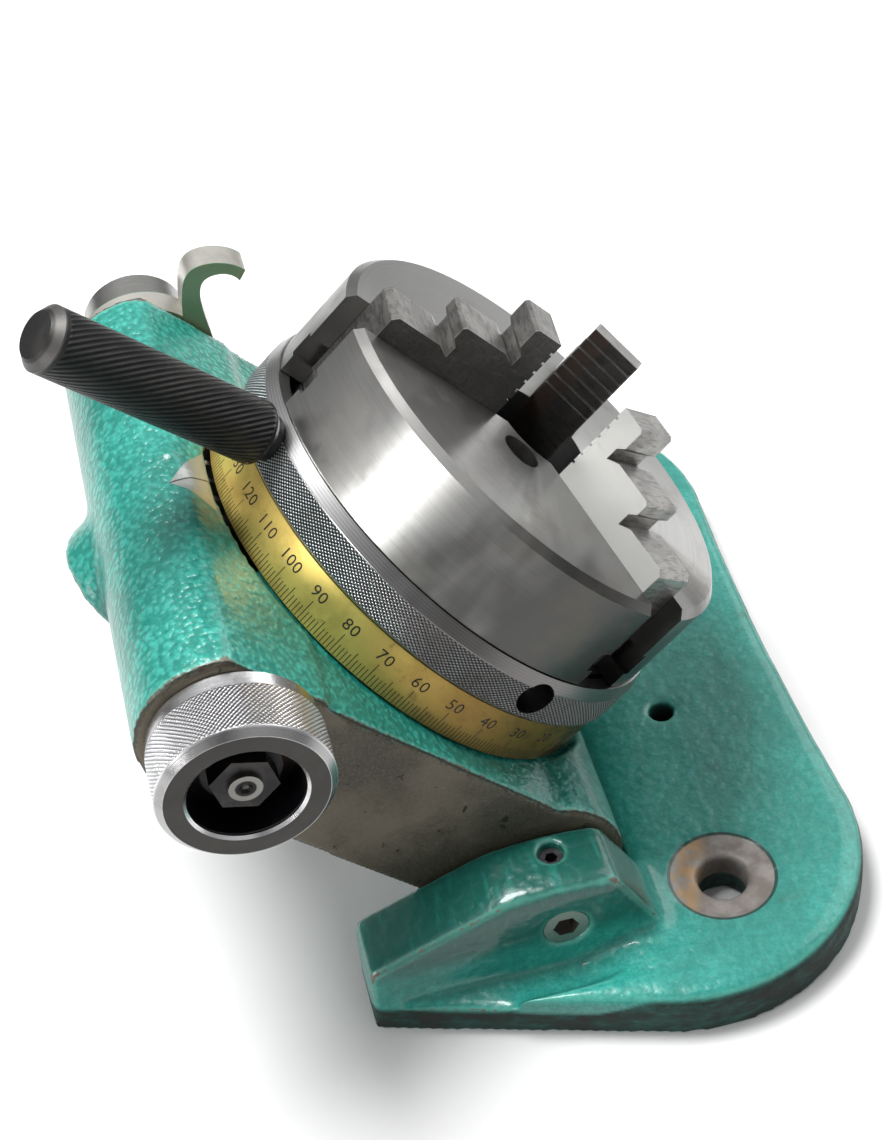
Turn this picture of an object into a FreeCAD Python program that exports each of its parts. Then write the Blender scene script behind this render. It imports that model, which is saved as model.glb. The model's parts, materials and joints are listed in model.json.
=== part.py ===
import FreeCAD, Part
import math
import os
import re
import Sketcher

# A tilting indexing chuck: a cast fork base, a head that tilts on two pivot screws,
# a worm-driven spindle with a degree dial, and a lever-scroll chuck with three stepped jaws.
# The frame stands at the middle of the two bolt holes, on the underside of the base.
# +X runs towards the side the chuck faces, +Z runs up. Every size is in millimetres.

SIZES = {
    # base casting
    "plate_thick": 14.0, "flange_thick": 9.0, "bolt_half_pitch": 81.0, "bolt_hole_rad": 6.65,
    "spotface_rad": 13.7, "spotface_deep": 0.8, "lobe_rad": 51.5, "lobe_mid_x": -10.0,
    "lobe_mid_y": 65.5, "waist_x": 39.4, "slot_end_gap": 1.2,
    "cheek_end_x": -96.6, "cheek_inner": 72.0, "cheek_thick": 20.0, "cheek_end_high": 21.5,
    "cheek_high": 37.0, "cheek_top_back": -60.0, "cheek_top_front": -31.0, "cheek_toe_x": -18.5,
    "cheek_crown_rad": 110.0, "flange_step_x": -42.0, "flange_step_run": 14.0,
    "tapped_hole_rad": 3.4,
    "tapped_hole_x": 2.4, "tapped_hole_y": -21.0, "base_round": 2.0, "cheek_round": 1.6,
    # pivot
    "pivot_x": -44.9, "pivot_z": 22.3, "tilt": 43.6, "pin_rad": 5.9, "pin_inset": 0.8,
    "pin_reach": 19.0, "bush_wall": 3.1, "hex_socket_half": 3.0, "hex_socket_deep": 6.0,
    "lock_screw_rad": 3.3, "lock_screw_y": 79.0, "lock_screw_inset": 1.6,
    # head casting, measured from the chuck's back face on the spindle axis
    "head_reach": 47.0, "head_rise": 46.0, "side_gap": 0.3, "front_z": -29.0, "rear_z": -69.0,
    "foot_rad": 21.4, "barrel_rad": 23.2, "worm_mid_z": -45.5, "dial_recess": 1.6,
    "front_ledge": 1.2,
    "hump_rear_rad": 21.5, "hump_front_rad": 17.5, "hump_rear_mid": 59.0, "hump_front_mid": 60.0,
    "pad_low_x": -9.5, "pad_high_x": 1.5, "pad_slope": 49.0, "pad_depth": 2.5, "pad_reach": 10.0,
    "pad_tool_high": 30.0,
    # wheel, worm and their chamber
    "module_size": 2.25, "wheel_teeth": 40, "worm_pitch_rad": 14.0, "wheel_thick": 14.0,
    "tooth_backlash": 0.34, "root_gap": 0.7, "chamber_gap": 2.25, "worm_room": 0.5,
    "worm_len": 40.0,
    "shaft_rad": 8.0, "shaft_shoulder_rad": 11.0, "worm_bush_rad": 15.0, "chamber_half": 30.0,
    "run_fit": 0.05, "seat_gap": 0.1, "face_gap": 0.4,
    # spindle
    "spindle_rad": 24.0, "tail_rad": 20.0, "spindle_bore_rad": 10.0, "dial_wall": 8.2,
    "hub_rad": 31.0, "front_bush_wall": 5.0, "front_web": 8.0, "rear_bush_wall": 6.0,
    "cover_rad": 56.0, "cover_flange": 6.0, "cover_spigot": 9.0, "cover_bolt_circle": 52.5,
    "cover_screw_rad": 1.6, "cover_head_rad": 2.9, "cover_head_deep": 3.2,
    "nut_rad": 27.0, "nut_thick": 6.4, "nut_pocket_gap": 2.0, "key_width": 6.0, "key_high": 5.0,
    "cover_screw_count": 6, "cover_screw_start": 30.0,
    # dial
    "dial_rad": 63.2, "dial_width": 14.6, "dial_edge": 0.4, "dial_gap": 0.5,
    # chuck
    "chuck_rad": 62.5, "chuck_thick": 28.0, "chuck_edge": 2.0, "chuck_bore_rad": 15.0, "web_rad": 26.0,
    "jaw_start_angle": 7.0, "jaw_width": 15.0, "slot_gap": 0.12, "tee_half": 9.7, "tee_low": 5.0,
    "tee_high": 12.0, "chuck_screw_circle": 22.0, "chuck_screw_rad": 3.0,
    "chuck_head_rad": 5.0, "chuck_head_high": 6.0, "chuck_head_gap": 0.4, "chuck_head_sunk": 8.5,
    "screw_into_hub": 10.0,
    # scroll ring and its handle
    "ring_rad": 64.25, "ring_back": 13.9, "ring_front_gap": 0.2, "ring_band": 3.5,
    "ring_band_drop": 1.2, "ring_wall": 4.75, "scroll_pitch": 6.0, "scroll_start_rad": 34.5,
    "thread_high": 3.0, "thread_wide": 2.7, "ring_hole_rad": 5.0, "ring_hole_deep": 8.5,
    "handle_angle": -6.5, "handle_mid": 7.0, "handle_rad": 8.25, "handle_out": 70.0,
    "handle_neck_rad": 6.0, "handle_neck_len": 3.0, "handle_end_bevel": 2.4,
    "handle_stub_gap": 0.05,
    # jaws
    "jaw_inner": 17.0, "jaw_step_one": 25.0, "jaw_step_two": 40.0, "jaw_outer": 56.0,
    "jaw_high_one": 24.5, "jaw_high_two": 14.5, "jaw_high_three": 6.9, "jaw_notch": 1.8,
    "tooth_thick": 1.7, "tooth_half_len": 4.2, "tooth_gap": 0.35, "tooth_curve": 45.0,
    "tee_play": 0.12, "serration_pitch": 3.2, "serration_deep": 0.7, "serration_wide": 0.8,
    # knob on the worm shaft
    "knob_rad": 21.1, "knob_end": 92.0, "knob_base_rad": 20.5, "knob_base_wide": 4.6,
    "knob_bevel": 1.8, "knob_recess_rad": 13.85, "knob_recess_deep": 11.5, "knob_nut_flat": 7.2,
    "knob_nut_thick": 6.4, "knob_nut_flange": 9.6, "knob_washer_rad": 8.2,
    "knob_washer_thick": 1.4, "stud_rad": 4.0, "stud_out": 1.2,
    # lever, sleeve and collar at the far end of the worm shaft
    "lever_hub_rad": 18.0, "lever_wide": 8.5, "lever_reach": 36.0, "lever_rise": 5.5,
    "lever_root": 9.5, "lever_mid": 5.2, "lever_tip": 3.6, "collar_rad": 14.5, "collar_wide": 14.0, "collar_gap": 0.6,
    "collar_hole_rad": 2.6, "collar_hole_deep": 4.5, "shaft_over": 1.0, "lever_screw_rad": 2.0,
}

X = FreeCAD.Vector(1, 0, 0)
Y = FreeCAD.Vector(0, 1, 0)
Z = FreeCAD.Vector(0, 0, 1)
TURN_TO = {
    "z": FreeCAD.Rotation(),
    "x": FreeCAD.Rotation(Y, 90),
    "y": FreeCAD.Rotation(X, -90),
}

os.makedirs("parts", exist_ok=True)
doc = FreeCAD.newDocument("tilting_chuck")
sheet = doc.addObject("Spreadsheet::Sheet", "Sizes")
for row, (word, number) in enumerate(SIZES.items(), 1):
    sheet.set(f"A{row}", word)
    sheet.set(f"B{row}", str(number))
    sheet.setAlias(f"B{row}", word)
doc.recompute()

WORD = re.compile(r"[a-z]+(?:_[a-z]+)*")
finished = {}


def linked(formula):
    """The formula with each size named the way an object outside the sheet names it."""
    return WORD.sub(lambda hit: "Sizes." + hit[0] if hit[0] in SIZES else hit[0], str(formula))


def value(formula):
    """The formula's number."""
    result = sheet.evalExpression(linked(formula))
    return float(getattr(result, "Value", result))


def bind(thing, **formulas):
    """Tie each property to its formula; a double underscore stands for a dot."""
    for name, formula in formulas.items():
        thing.setExpression(name.replace("__", "."), linked(formula))
    return thing


def place(thing, x=0, y=0, z=0):
    return bind(thing, Placement__Base__x=x, Placement__Base__y=y, Placement__Base__z=z)


def rod(radius, low, high, one=0, two=0, along="z"):
    """A cylinder from low to high; one and two place its axis on the other two axes, in order."""
    thing = doc.addObject("Part::Cylinder", "rod")
    thing.Placement = FreeCAD.Placement(FreeCAD.Vector(), TURN_TO[along])
    bind(thing, Radius=radius, Height=f"({high}) - ({low})")
    spots = {"z": (one, two, low), "x": (low, one, two), "y": (one, low, two)}
    return place(thing, *spots[along])


def cone(low_radius, high_radius, low, high, one=0, two=0, along="z"):
    thing = doc.addObject("Part::Cone", "cone")
    thing.Placement = FreeCAD.Placement(FreeCAD.Vector(), TURN_TO[along])
    bind(thing, Radius1=low_radius, Radius2=high_radius, Height=f"({high}) - ({low})")
    spots = {"z": (one, two, low), "x": (low, one, two), "y": (one, low, two)}
    return place(thing, *spots[along])


def block(x0, x1, y0, y1, z0, z1):
    thing = doc.addObject("Part::Box", "block")
    bind(thing, Length=f"({x1}) - ({x0})", Width=f"({y1}) - ({y0})", Height=f"({z1}) - ({z0})")
    return place(thing, x0, y0, z0)


def fused(*things):
    """One shape made of several."""
    whole = doc.addObject("Part::MultiFuse", "fused")
    whole.Shapes = list(things)
    return whole


def without(base, *tools):
    """The base with every tool cut out of it."""
    whole = doc.addObject("Part::Cut", "cut")
    whole.Base = base
    whole.Tool = tools[0] if len(tools) == 1 else fused(*tools)
    return whole


def shared(*things):
    whole = doc.addObject("Part::MultiCommon", "shared")
    whole.Shapes = list(things)
    return whole


def solid(shape, name="shape"):
    """A fixed shape, for the few forms that neither primitives nor sketches can give."""
    thing = doc.addObject("Part::Feature", name)
    thing.Shape = shape
    return thing


def turned_about(thing, angle, centre=FreeCAD.Vector(), axis=Z):
    """Turn a shape about an axis through a centre, after its own placement."""
    twist = FreeCAD.Placement(FreeCAD.Vector(), FreeCAD.Rotation(axis, angle), centre)
    holder = doc.addObject("Part::Compound", "turned")
    holder.Links = [thing]
    holder.Placement = twist
    return holder


def corner(sketch, index, end, x, y):
    """Hold one end of a sketch edge at a place given by two formulas."""
    for axis, formula in (("X", x), ("Y", y)):
        number = value(formula)
        if abs(number) < 1e-9:
            line = -2 if axis == "X" else -1
            sketch.addConstraint(Sketcher.Constraint("PointOnObject", index, end, line))
            continue
        held = Sketcher.Constraint("Distance" + axis, -1, 1, index, end, number)
        spot = sketch.addConstraint(held)
        sketch.setExpression(f"Constraints[{spot}]", linked(formula))


def profile(body, plane, outline):
    """A closed sketch through the outline's corners; a third entry bends the edge that ends
    there into an arc of that radius, to the left of the way it runs, or right if it starts
    with a minus."""
    sketch = body.newObject("Sketcher::SketchObject", "outline")
    for feature in body.Origin.OriginFeatures:
        if feature.Role == plane:
            sketch.AttachmentSupport = [(feature, "")]
    sketch.MapMode = "FlatFace"
    count = len(outline)
    spots = [FreeCAD.Vector(value(item[0]), value(item[1]), 0) for item in outline]
    for index in range(count):
        start, end = spots[index], spots[(index + 1) % count]
        bend = outline[(index + 1) % count][2:]
        if not bend:
            sketch.addGeometry(Part.LineSegment(start, end), False)
            continue
        radius = value(bend[0].lstrip("-"))
        side = -1 if bend[0].startswith("-") else 1
        run = end - start
        sag = radius - math.sqrt(radius ** 2 - (run.Length / 2) ** 2)
        across = FreeCAD.Vector(run.y, -run.x, 0).normalize() * (sag * side)
        sketch.addGeometry(Part.Arc(start, (start + end) / 2 + across, end), False)
    for index in range(count):
        bend = outline[(index + 1) % count][2:]
        first = 2 if bend and bend[0].startswith("-") else 1
        corner(sketch, index, first, *outline[index][:2])
        following = (index + 1) % count
        after = outline[(following + 1) % count][2:]
        joined = 2 if after and after[0].startswith("-") else 1
        last = 3 - first
        sketch.addConstraint(Sketcher.Constraint("Coincident", index, last, following, joined))
        if bend:
            number = value(bend[0].lstrip("-"))
            spot = sketch.addConstraint(Sketcher.Constraint("Radius", index, number))
            sketch.setExpression(f"Constraints[{spot}]", linked(bend[0].lstrip("-")))
    return sketch


def turned(outline):
    """A body turned about its own Z axis from an outline of (radius, height) corners."""
    body = doc.addObject("PartDesign::Body", "turned_body")
    sketch = profile(body, "XZ_Plane", outline)
    spin = body.newObject("PartDesign::Revolution", "revolution")
    spin.Profile = sketch
    spin.ReferenceAxis = (sketch, ["V_Axis"])
    spin.Angle = 360
    sketch.Visibility = False
    return body


def padded(outline, length, plane="XY_Plane", backwards=False):
    """A body padded from an outline to a length."""
    body = doc.addObject("PartDesign::Body", "padded_body")
    sketch = profile(body, plane, outline)
    pad = body.newObject("PartDesign::Pad", "pad")
    pad.Profile = sketch
    pad.Reversed = backwards
    bind(pad, Length=length)
    return body


def rounded(base, radius, choose):
    """The base with a round on each edge that choose picks by its middle point."""
    doc.recompute()
    whole = doc.addObject("Part::Fillet", "rounded")
    whole.Base = base
    picked = []
    for index, edge in enumerate(base.Shape.Edges, 1):
        if choose(edge.valueAt((edge.FirstParameter + edge.LastParameter) / 2), edge):
            picked.append((index, value(radius), value(radius)))
    whole.Edges = picked
    return whole


def finish(name, thing, placement=FreeCAD.Placement()):
    """Take a shape into the model as a sub-part with its name and place."""
    if placement.isIdentity():
        piece = thing
    else:
        piece = doc.addObject("Part::Compound", "piece")
        piece.Links = [thing]
        piece.Placement = placement
    piece.Label = name
    finished[name] = piece
    return piece


def head_frame():
    """The head's own frame: x across the base, y up the head, z out along the spindle."""
    lean = FreeCAD.Rotation(Y, -value("tilt"))
    turn = lean.multiply(FreeCAD.Rotation(FreeCAD.Vector(1, 1, 1), 120))
    arm = turn.multVec(FreeCAD.Vector(0, value("head_rise"), value("head_reach")))
    return FreeCAD.Placement(FreeCAD.Vector(value("pivot_x"), 0, value("pivot_z")) + arm, turn)


HEAD = head_frame()
CHEEK_OUTER = "(cheek_inner + cheek_thick)"
SIDE = "(cheek_inner - side_gap)"
PIVOT_Y = "(-head_rise)"
PIVOT_Z = "(-head_reach)"
WHEEL_RAD = "(module_size * wheel_teeth / 2)"
WORM_Y = f"({WHEEL_RAD} + worm_pitch_rad)"
WHEEL_TIP = f"({WHEEL_RAD} + module_size)"
CHAMBER_FRONT = "(front_z - front_web)"
SPIGOT_REAR = "(rear_z + cover_flange)"
SPIGOT_FRONT = f"({SPIGOT_REAR} + cover_spigot)"
FLANGE_BACK = "(front_z + dial_gap)"
FLANGE_RAD = "(dial_rad - dial_wall)"
SCROLL_RAD = "(ring_rad - ring_wall)"


def tangent_spot():
    """Where the flange's slanting edge, drawn from the cheek's outer end, meets the lobe."""
    end = FreeCAD.Vector(value("cheek_end_x"), value(CHEEK_OUTER), 0)
    middle = FreeCAD.Vector(value("lobe_mid_x"), value("lobe_mid_y"), 0)
    run = middle - end
    radius = value("lobe_rad")
    swing = math.asin(radius / run.Length)
    reach = math.sqrt(run.Length ** 2 - radius ** 2)
    way = FreeCAD.Rotation(Z, math.degrees(swing)).multVec(run).normalize()
    return end + way * reach


def base_casting():
    """Plate with two bolt lobes, two cheeks with sloping tops, and a flange outside each."""
    touch = tangent_spot()
    slot_x = "(pivot_x + foot_rad + slot_end_gap)"
    step = "(waist_x - lobe_mid_x)"
    bow = f"((lobe_mid_y ^ 2 + {step} ^ 2 - lobe_rad ^ 2) / (2 * (lobe_rad - {step})))"
    share = f"(lobe_rad / (lobe_rad + {bow}))"
    blend_x = f"(lobe_mid_x + {share} * ({step} + {bow}))"
    blend_y = f"(lobe_mid_y * (1 - {share}))"
    outline = [
        (slot_x, "-cheek_inner"), ("cheek_end_x", "-cheek_inner"),
        ("cheek_end_x", f"-{CHEEK_OUTER}"), (touch.x, -touch.y),
        (blend_x, f"-{blend_y}", "lobe_rad"), (blend_x, blend_y, f"-{bow}"),
        (touch.x, touch.y, "lobe_rad"), ("cheek_end_x", CHEEK_OUTER),
        ("cheek_end_x", "cheek_inner"), (slot_x, "cheek_inner"),
    ]
    top = value("plate_thick")

    def rim(spot, edge):
        on_rim = spot.x > value("waist_x") - 1 or abs(spot.y) > value(CHEEK_OUTER) + 3
        return abs(spot.z - top) < 0.01 and on_rim

    def crown(spot, edge):
        return spot.z > value("cheek_high") - 0.2 and edge.Length > value("cheek_thick") + 1

    above_flange = padded([
        ("cheek_end_x - 1", "flange_thick"), ("flange_step_x", "flange_thick"),
        ("flange_step_x + flange_step_run", "plate_thick"),
        ("flange_step_x + flange_step_run", "plate_thick + 1"),
        ("cheek_end_x - 1", "plate_thick + 1"),
    ], "4 * lobe_rad", "XZ_Plane", True)
    plate = without(rounded(padded(outline, "plate_thick"), "base_round", rim),
                    place(above_flange, 0, "-2 * lobe_rad", 0))
    side = [
        ("cheek_end_x", 0), ("cheek_toe_x", 0), ("cheek_toe_x", "plate_thick"),
        ("cheek_top_front", "cheek_high"), ("cheek_top_back", "cheek_high", "cheek_crown_rad"),
        ("cheek_end_x", "cheek_end_high"),
    ]
    cheeks = []
    for edge in (f"-{CHEEK_OUTER}", "cheek_inner"):
        cheek = padded(side, "cheek_thick", "XZ_Plane", True)
        cheeks.append(rounded(place(cheek, 0, edge, 0), "cheek_round", crown))
    rough = fused(plate, *cheeks)
    tools = []
    for way in ("", "-"):
        hole_y = f"{way}bolt_half_pitch"
        tools.append(rod("bolt_hole_rad", -1, "plate_thick + 1", 0, hole_y))
        tools.append(rod("spotface_rad", "plate_thick - spotface_deep", "plate_thick + 1",
                         0, hole_y))
        tools.append(rod("lock_screw_rad", "pivot_z", "cheek_high + 5",
                         "pivot_x", f"{way}lock_screw_y"))
    tools.append(rod("tapped_hole_rad", -1, "plate_thick + 1", "tapped_hole_x", "tapped_hole_y"))
    tools.append(rod("pin_rad + run_fit", f"-{CHEEK_OUTER} - 1", f"{CHEEK_OUTER} + 1",
                     "pivot_x", "pivot_z", "y"))
    finish("base_casting", without(rough, *tools))


def hex_hole(half_flats, low, high):
    """A hexagonal prism along z, for a socket or a nut."""
    across = f"{half_flats} / cos(30)"
    prism = doc.addObject("Part::Prism", "hexagon")
    prism.Polygon = 6
    bind(prism, Circumradius=across, Height=f"({high}) - ({low})")
    return place(prism, 0, 0, low)


def pivot_screws():
    """A socket screw in each cheek, with a plain end that carries the head, and its lock."""
    length = "(cheek_thick - pin_inset + pin_reach)"
    ends = {"front_pivot_screw": -1, "rear_pivot_screw": 1}
    for name, side in ends.items():
        body = without(
            turned([(0, 0), ("pin_rad", 0), ("pin_rad", f"{length} - 0.8"),
                    ("pin_rad - 0.8", length), (0, length)]),
            hex_hole("hex_socket_half", -1, "hex_socket_deep"))
        turn = FreeCAD.Rotation(X, 90 * side)
        spot = FreeCAD.Vector(value("pivot_x"), side * value(f"{CHEEK_OUTER} - pin_inset"),
                              value("pivot_z"))
        finish(name, body, FreeCAD.Placement(spot, turn))
    seats = []
    for way in ("", "-"):
        spot_y = f"{way}lock_screw_y"
        low = "(pivot_z + pin_rad)"
        high = "(cheek_high - lock_screw_inset)"
        grub = rod("lock_screw_rad - 0.05", low, high, "pivot_x", spot_y)
        socket = hex_hole("1.5", high + " - 3", high + " + 1")
        place(socket, "pivot_x", spot_y, high + " - 3")
        seats.append(without(grub, socket))
    finish("pivot_lock_screws", fused(*seats))


def housing():
    """The head casting: slab, cross barrel for the worm, and a hump that carries the zero pad."""
    slab = block(f"-{SIDE}", SIDE, PIVOT_Y, WORM_Y, "rear_z", "front_z")
    foot = rod("foot_rad", f"-{SIDE}", SIDE, PIVOT_Y, PIVOT_Z, "x")
    barrel = rod("barrel_rad", f"-{SIDE}", SIDE, WORM_Y, "worm_mid_z", "x")
    run = value("front_z - rear_z")
    lean = math.degrees(math.atan2(value("hump_rear_mid - hump_front_mid"), run))
    hump = doc.addObject("Part::Cone", "hump")
    bind(hump, Radius1="hump_rear_rad", Radius2="hump_front_rad", Height="front_z - rear_z + 2")
    hump.Placement = FreeCAD.Placement(FreeCAD.Vector(), FreeCAD.Rotation(X, lean))
    place(hump, 0, "hump_rear_mid", "rear_z - 1")
    rough = fused(slab, foot, barrel, hump)
    pad = block("pad_low_x", "pad_high_x", 0, "pad_tool_high", 0, "2 * pad_reach")
    pad.Placement = FreeCAD.Placement(FreeCAD.Vector(), FreeCAD.Rotation(X, value("pad_slope")))
    away = "(barrel_rad - pad_depth)"
    top = f"({WORM_Y} + 2 * barrel_rad)"
    place(pad, "pad_low_x",
          f"{WORM_Y} + {away} * cos(pad_slope) + pad_reach * sin(pad_slope)",
          f"worm_mid_z + {away} * sin(pad_slope) - pad_reach * cos(pad_slope)")
    tools = [
        rod("dial_rad + dial_recess", "front_z", 0),
        block(f"-{SIDE} - 1", f"{SIDE} + 1", 0, top, "front_z + front_ledge", 0),
        block(f"-{SIDE} - 1", f"{SIDE} + 1", 0, top, "rear_z - 20", "rear_z"),
        rod("spindle_rad + front_bush_wall", f"{CHAMBER_FRONT} - 1", "front_z + 1"),
        rod(f"{WHEEL_TIP} + chamber_gap", "rear_z - 1", CHAMBER_FRONT),
        rod("cover_rad + seat_gap", "rear_z - 1", SPIGOT_REAR),
        rod("worm_pitch_rad + module_size + worm_room", "-chamber_half", "chamber_half",
            WORM_Y, "worm_mid_z", "x"),
        rod("worm_bush_rad", f"-{SIDE} - 1", f"{SIDE} + 1", WORM_Y, "worm_mid_z", "x"),
        rod("pin_rad + run_fit + bush_wall", f"-{SIDE} - 1",
            "-(cheek_inner - pin_reach - 2)", PIVOT_Y, PIVOT_Z, "x"),
        rod("pin_rad + run_fit + bush_wall", "cheek_inner - pin_reach - 2", f"{SIDE} + 1",
            PIVOT_Y, PIVOT_Z, "x"),
        pad,
    ]
    finish("housing", without(rough, *tools), HEAD)


def tube(outer, inner, low, high, one=0, two=0, along="z"):
    return without(rod(outer, low, high, one, two, along),
                   rod(inner, f"{low} - 1", f"{high} + 1", one, two, along))


def head_bushes():
    """Bronze bushes pressed into the head: pivot pair, spindle front and rear, worm front."""
    outer = "pin_rad + run_fit + bush_wall"
    pair = []
    for low, high in ((f"-{SIDE}", "-(cheek_inner - pin_reach)"),
                      ("cheek_inner - pin_reach", SIDE)):
        pair.append(tube(outer, "pin_rad + run_fit", low, high, PIVOT_Y, PIVOT_Z, "x"))
    finish("pivot_bushes", fused(*pair), HEAD)
    finish("front_spindle_bush",
           tube("spindle_rad + front_bush_wall", "spindle_rad + run_fit",
                CHAMBER_FRONT, "front_z"), HEAD)
    finish("rear_spindle_bush",
           tube("tail_rad + rear_bush_wall", "tail_rad + run_fit",
                f"{SPIGOT_FRONT} - 7", SPIGOT_FRONT), HEAD)
    finish("worm_bush",
           tube("worm_bush_rad", "shaft_rad + run_fit", f"-{SIDE}", "-chamber_half",
                WORM_Y, "worm_mid_z", "x"), HEAD)


def ring_of(thing_at, count, start=0.0):
    """Copies set round the spindle axis, as one list."""
    return [thing_at(start + 360.0 * index / count) for index in range(count)]


def spot_on(circle, angle):
    """The x and y formulas of a point on a circle, at an angle from up the head towards x."""
    return f"({circle}) * sin({angle})", f"({circle}) * cos({angle})"


def rear_cover():
    """Flush cover that closes the wheel chamber and carries the rear bush; screws round it."""
    count = int(value("cover_screw_count"))
    start = value("cover_screw_start")
    body = fused(rod("cover_rad", "rear_z", SPIGOT_REAR),
                 rod(f"{WHEEL_TIP} + chamber_gap - seat_gap", SPIGOT_REAR, SPIGOT_FRONT))
    tools = [
        rod("nut_rad + nut_pocket_gap", "rear_z - 1", f"{SPIGOT_FRONT} - 7"),
        rod("tail_rad + rear_bush_wall", "rear_z - 1", f"{SPIGOT_FRONT} + 1"),
        rod("worm_pitch_rad + module_size + worm_room", "-chamber_half", "chamber_half",
            WORM_Y, "worm_mid_z", "x"),
    ]

    def screw_hole(angle):
        return fused(
            rod("cover_screw_rad + 0.1", "rear_z - 1", f"{SPIGOT_REAR} + 1",
                *spot_on("cover_bolt_circle", angle)),
            rod("cover_head_rad + 0.2", "rear_z - 1", "rear_z + cover_head_deep",
                *spot_on("cover_bolt_circle", angle)))

    def screw(angle):
        spot = spot_on("cover_bolt_circle", angle)
        head_low = "rear_z + 0.3"
        socket = hex_hole("1.25", head_low + " - 1", "rear_z + 1.6")
        place(socket, *spot, head_low + " - 1")
        return without(
            fused(rod("cover_head_rad", head_low, "rear_z + cover_head_deep", *spot),
                  rod("cover_screw_rad", "rear_z + cover_head_deep", SPIGOT_REAR, *spot)),
            socket)

    tools += ring_of(screw_hole, count, start)
    finish("rear_cover", without(body, *tools), HEAD)
    finish("rear_cover_screws", fused(*ring_of(screw, count, start)), HEAD)


def gear_outline(turn):
    """The wheel's tooth outline in the plane z = 0, turned by an angle in degrees."""
    teeth = int(value("wheel_teeth"))
    size = value("module_size")
    pitch_rad = value(WHEEL_RAD)
    root = pitch_rad - size - value("root_gap")
    tip = pitch_rad + size * 0.95
    slope = math.tan(math.radians(20))
    half_pitch = math.pi * size / 4 - value("tooth_backlash") / 2
    half_tip = half_pitch - (tip - pitch_rad) * slope * 1.1
    half_root = half_pitch + (pitch_rad - root) * slope * 0.75
    wire = []
    for index in range(teeth):
        middle = 360.0 * index / teeth + turn
        for radius, half in ((root, -half_root), (pitch_rad, -half_pitch), (tip, -half_tip),
                             (tip, half_tip), (pitch_rad, half_pitch), (root, half_root)):
            angle = math.radians(middle) + half / radius
            wire.append(FreeCAD.Vector(radius * math.sin(angle), radius * math.cos(angle), 0))
    wire.append(wire[0])
    return Part.makePolygon(wire)


def worm_wheel():
    """Bronze worm wheel; its teeth lean by the worm's lead angle."""
    lead = math.pi * value("module_size")
    lean = math.atan(lead / (2 * math.pi * value("worm_pitch_rad")))
    half = value("wheel_thick") / 2
    twist = math.degrees(half * math.tan(lean) / value(WHEEL_RAD))
    low = gear_outline(twist)
    high = gear_outline(-twist)
    low.translate(FreeCAD.Vector(0, 0, value("worm_mid_z") - half))
    high.translate(FreeCAD.Vector(0, 0, value("worm_mid_z") + half))
    blank = solid(Part.makeLoft([low, high], True, True), "wheel_blank")
    key_half = "(key_width / 2)"
    bore = rod("spindle_rad + seat_gap / 10", "rear_z", "front_z")
    key = block(f"-{key_half}", key_half, 0, "spindle_rad + key_high / 2 + seat_gap",
                "rear_z", "front_z")
    finish("worm_wheel", without(blank, bore, key), HEAD)
    finish("wheel_key",
           block(f"-{key_half} + seat_gap / 2", f"{key_half} - seat_gap / 2",
                 "spindle_rad - key_high / 2", "spindle_rad + key_high / 2",
                 "worm_mid_z - wheel_thick / 2", "worm_mid_z + wheel_thick / 2"), HEAD)


def spindle():
    """Hollow spindle: rear journal, wheel seat, front journal, dial flange and chuck hub."""
    back = "(rear_z + 0.6)"
    journal = f"({SPIGOT_FRONT} - {back})"
    outline = [
        ("spindle_bore_rad", 0), ("tail_rad - 0.6", 0), ("tail_rad", 0.6),
        ("tail_rad", journal), ("spindle_rad", journal),
        ("spindle_rad", f"{FLANGE_BACK} - {back}"), (FLANGE_RAD, f"{FLANGE_BACK} - {back}"),
        (FLANGE_RAD, f"-ring_back - ring_front_gap - {back}"),
        ("hub_rad", f"-ring_back - ring_front_gap - {back}"),
        ("hub_rad", f"-{back}"), ("spindle_bore_rad", f"-{back}"),
    ]
    body = place(turned(outline), 0, 0, back)
    key_half = "(key_width / 2)"
    tools = [block(f"-{key_half}", key_half, "spindle_rad - key_high / 2", "spindle_rad + 5",
                   "worm_mid_z - wheel_thick / 2", "worm_mid_z + wheel_thick / 2")]
    for index in range(3):
        angle = f"(jaw_start_angle + 60 + {120 * index})"
        tools.append(rod("chuck_screw_rad", "-screw_into_hub - 1", 1,
                         *spot_on("chuck_screw_circle", angle)))
    finish("spindle", without(body, *tools), HEAD)
    nut = without(
        rod("nut_rad", "rear_z + 1.2", "rear_z + 1.2 + nut_thick"),
        rod("tail_rad", "rear_z - 1", "rear_z + 20"),
        *[turned_about(block("-2.5", "2.5", "nut_rad - 3", "nut_rad + 2", "rear_z",
                             "rear_z + 20"), 90.0 * index) for index in range(4)])
    finish("spindle_nut", nut, HEAD)


def dial_ring():
    """Brass ring with a shallow bead at each edge; it fits round the spindle's flange."""
    wide = "(dial_width - 0.2)"
    outline = [
        (f"{FLANGE_RAD} + seat_gap / 2", 0), ("dial_rad - dial_edge", 0),
        ("dial_rad", "dial_edge"), ("dial_rad", f"{wide} - dial_edge"),
        ("dial_rad - dial_edge", wide), (f"{FLANGE_RAD} + seat_gap / 2", wide),
    ]
    ring = place(turned(outline), 0, 0, "-ring_back - dial_width")
    finish("dial_ring", ring, HEAD)


def across_slot(half, low, high, angle, inner="0"):
    """A block that runs outwards along a jaw's way, past the chuck's rim."""
    bar = block(f"-({half})", half, inner, "chuck_rad + 5", low, high)
    return turned_about(bar, -angle)


def jaw_angle(index):
    return value("jaw_start_angle") + 120.0 * index


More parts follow.
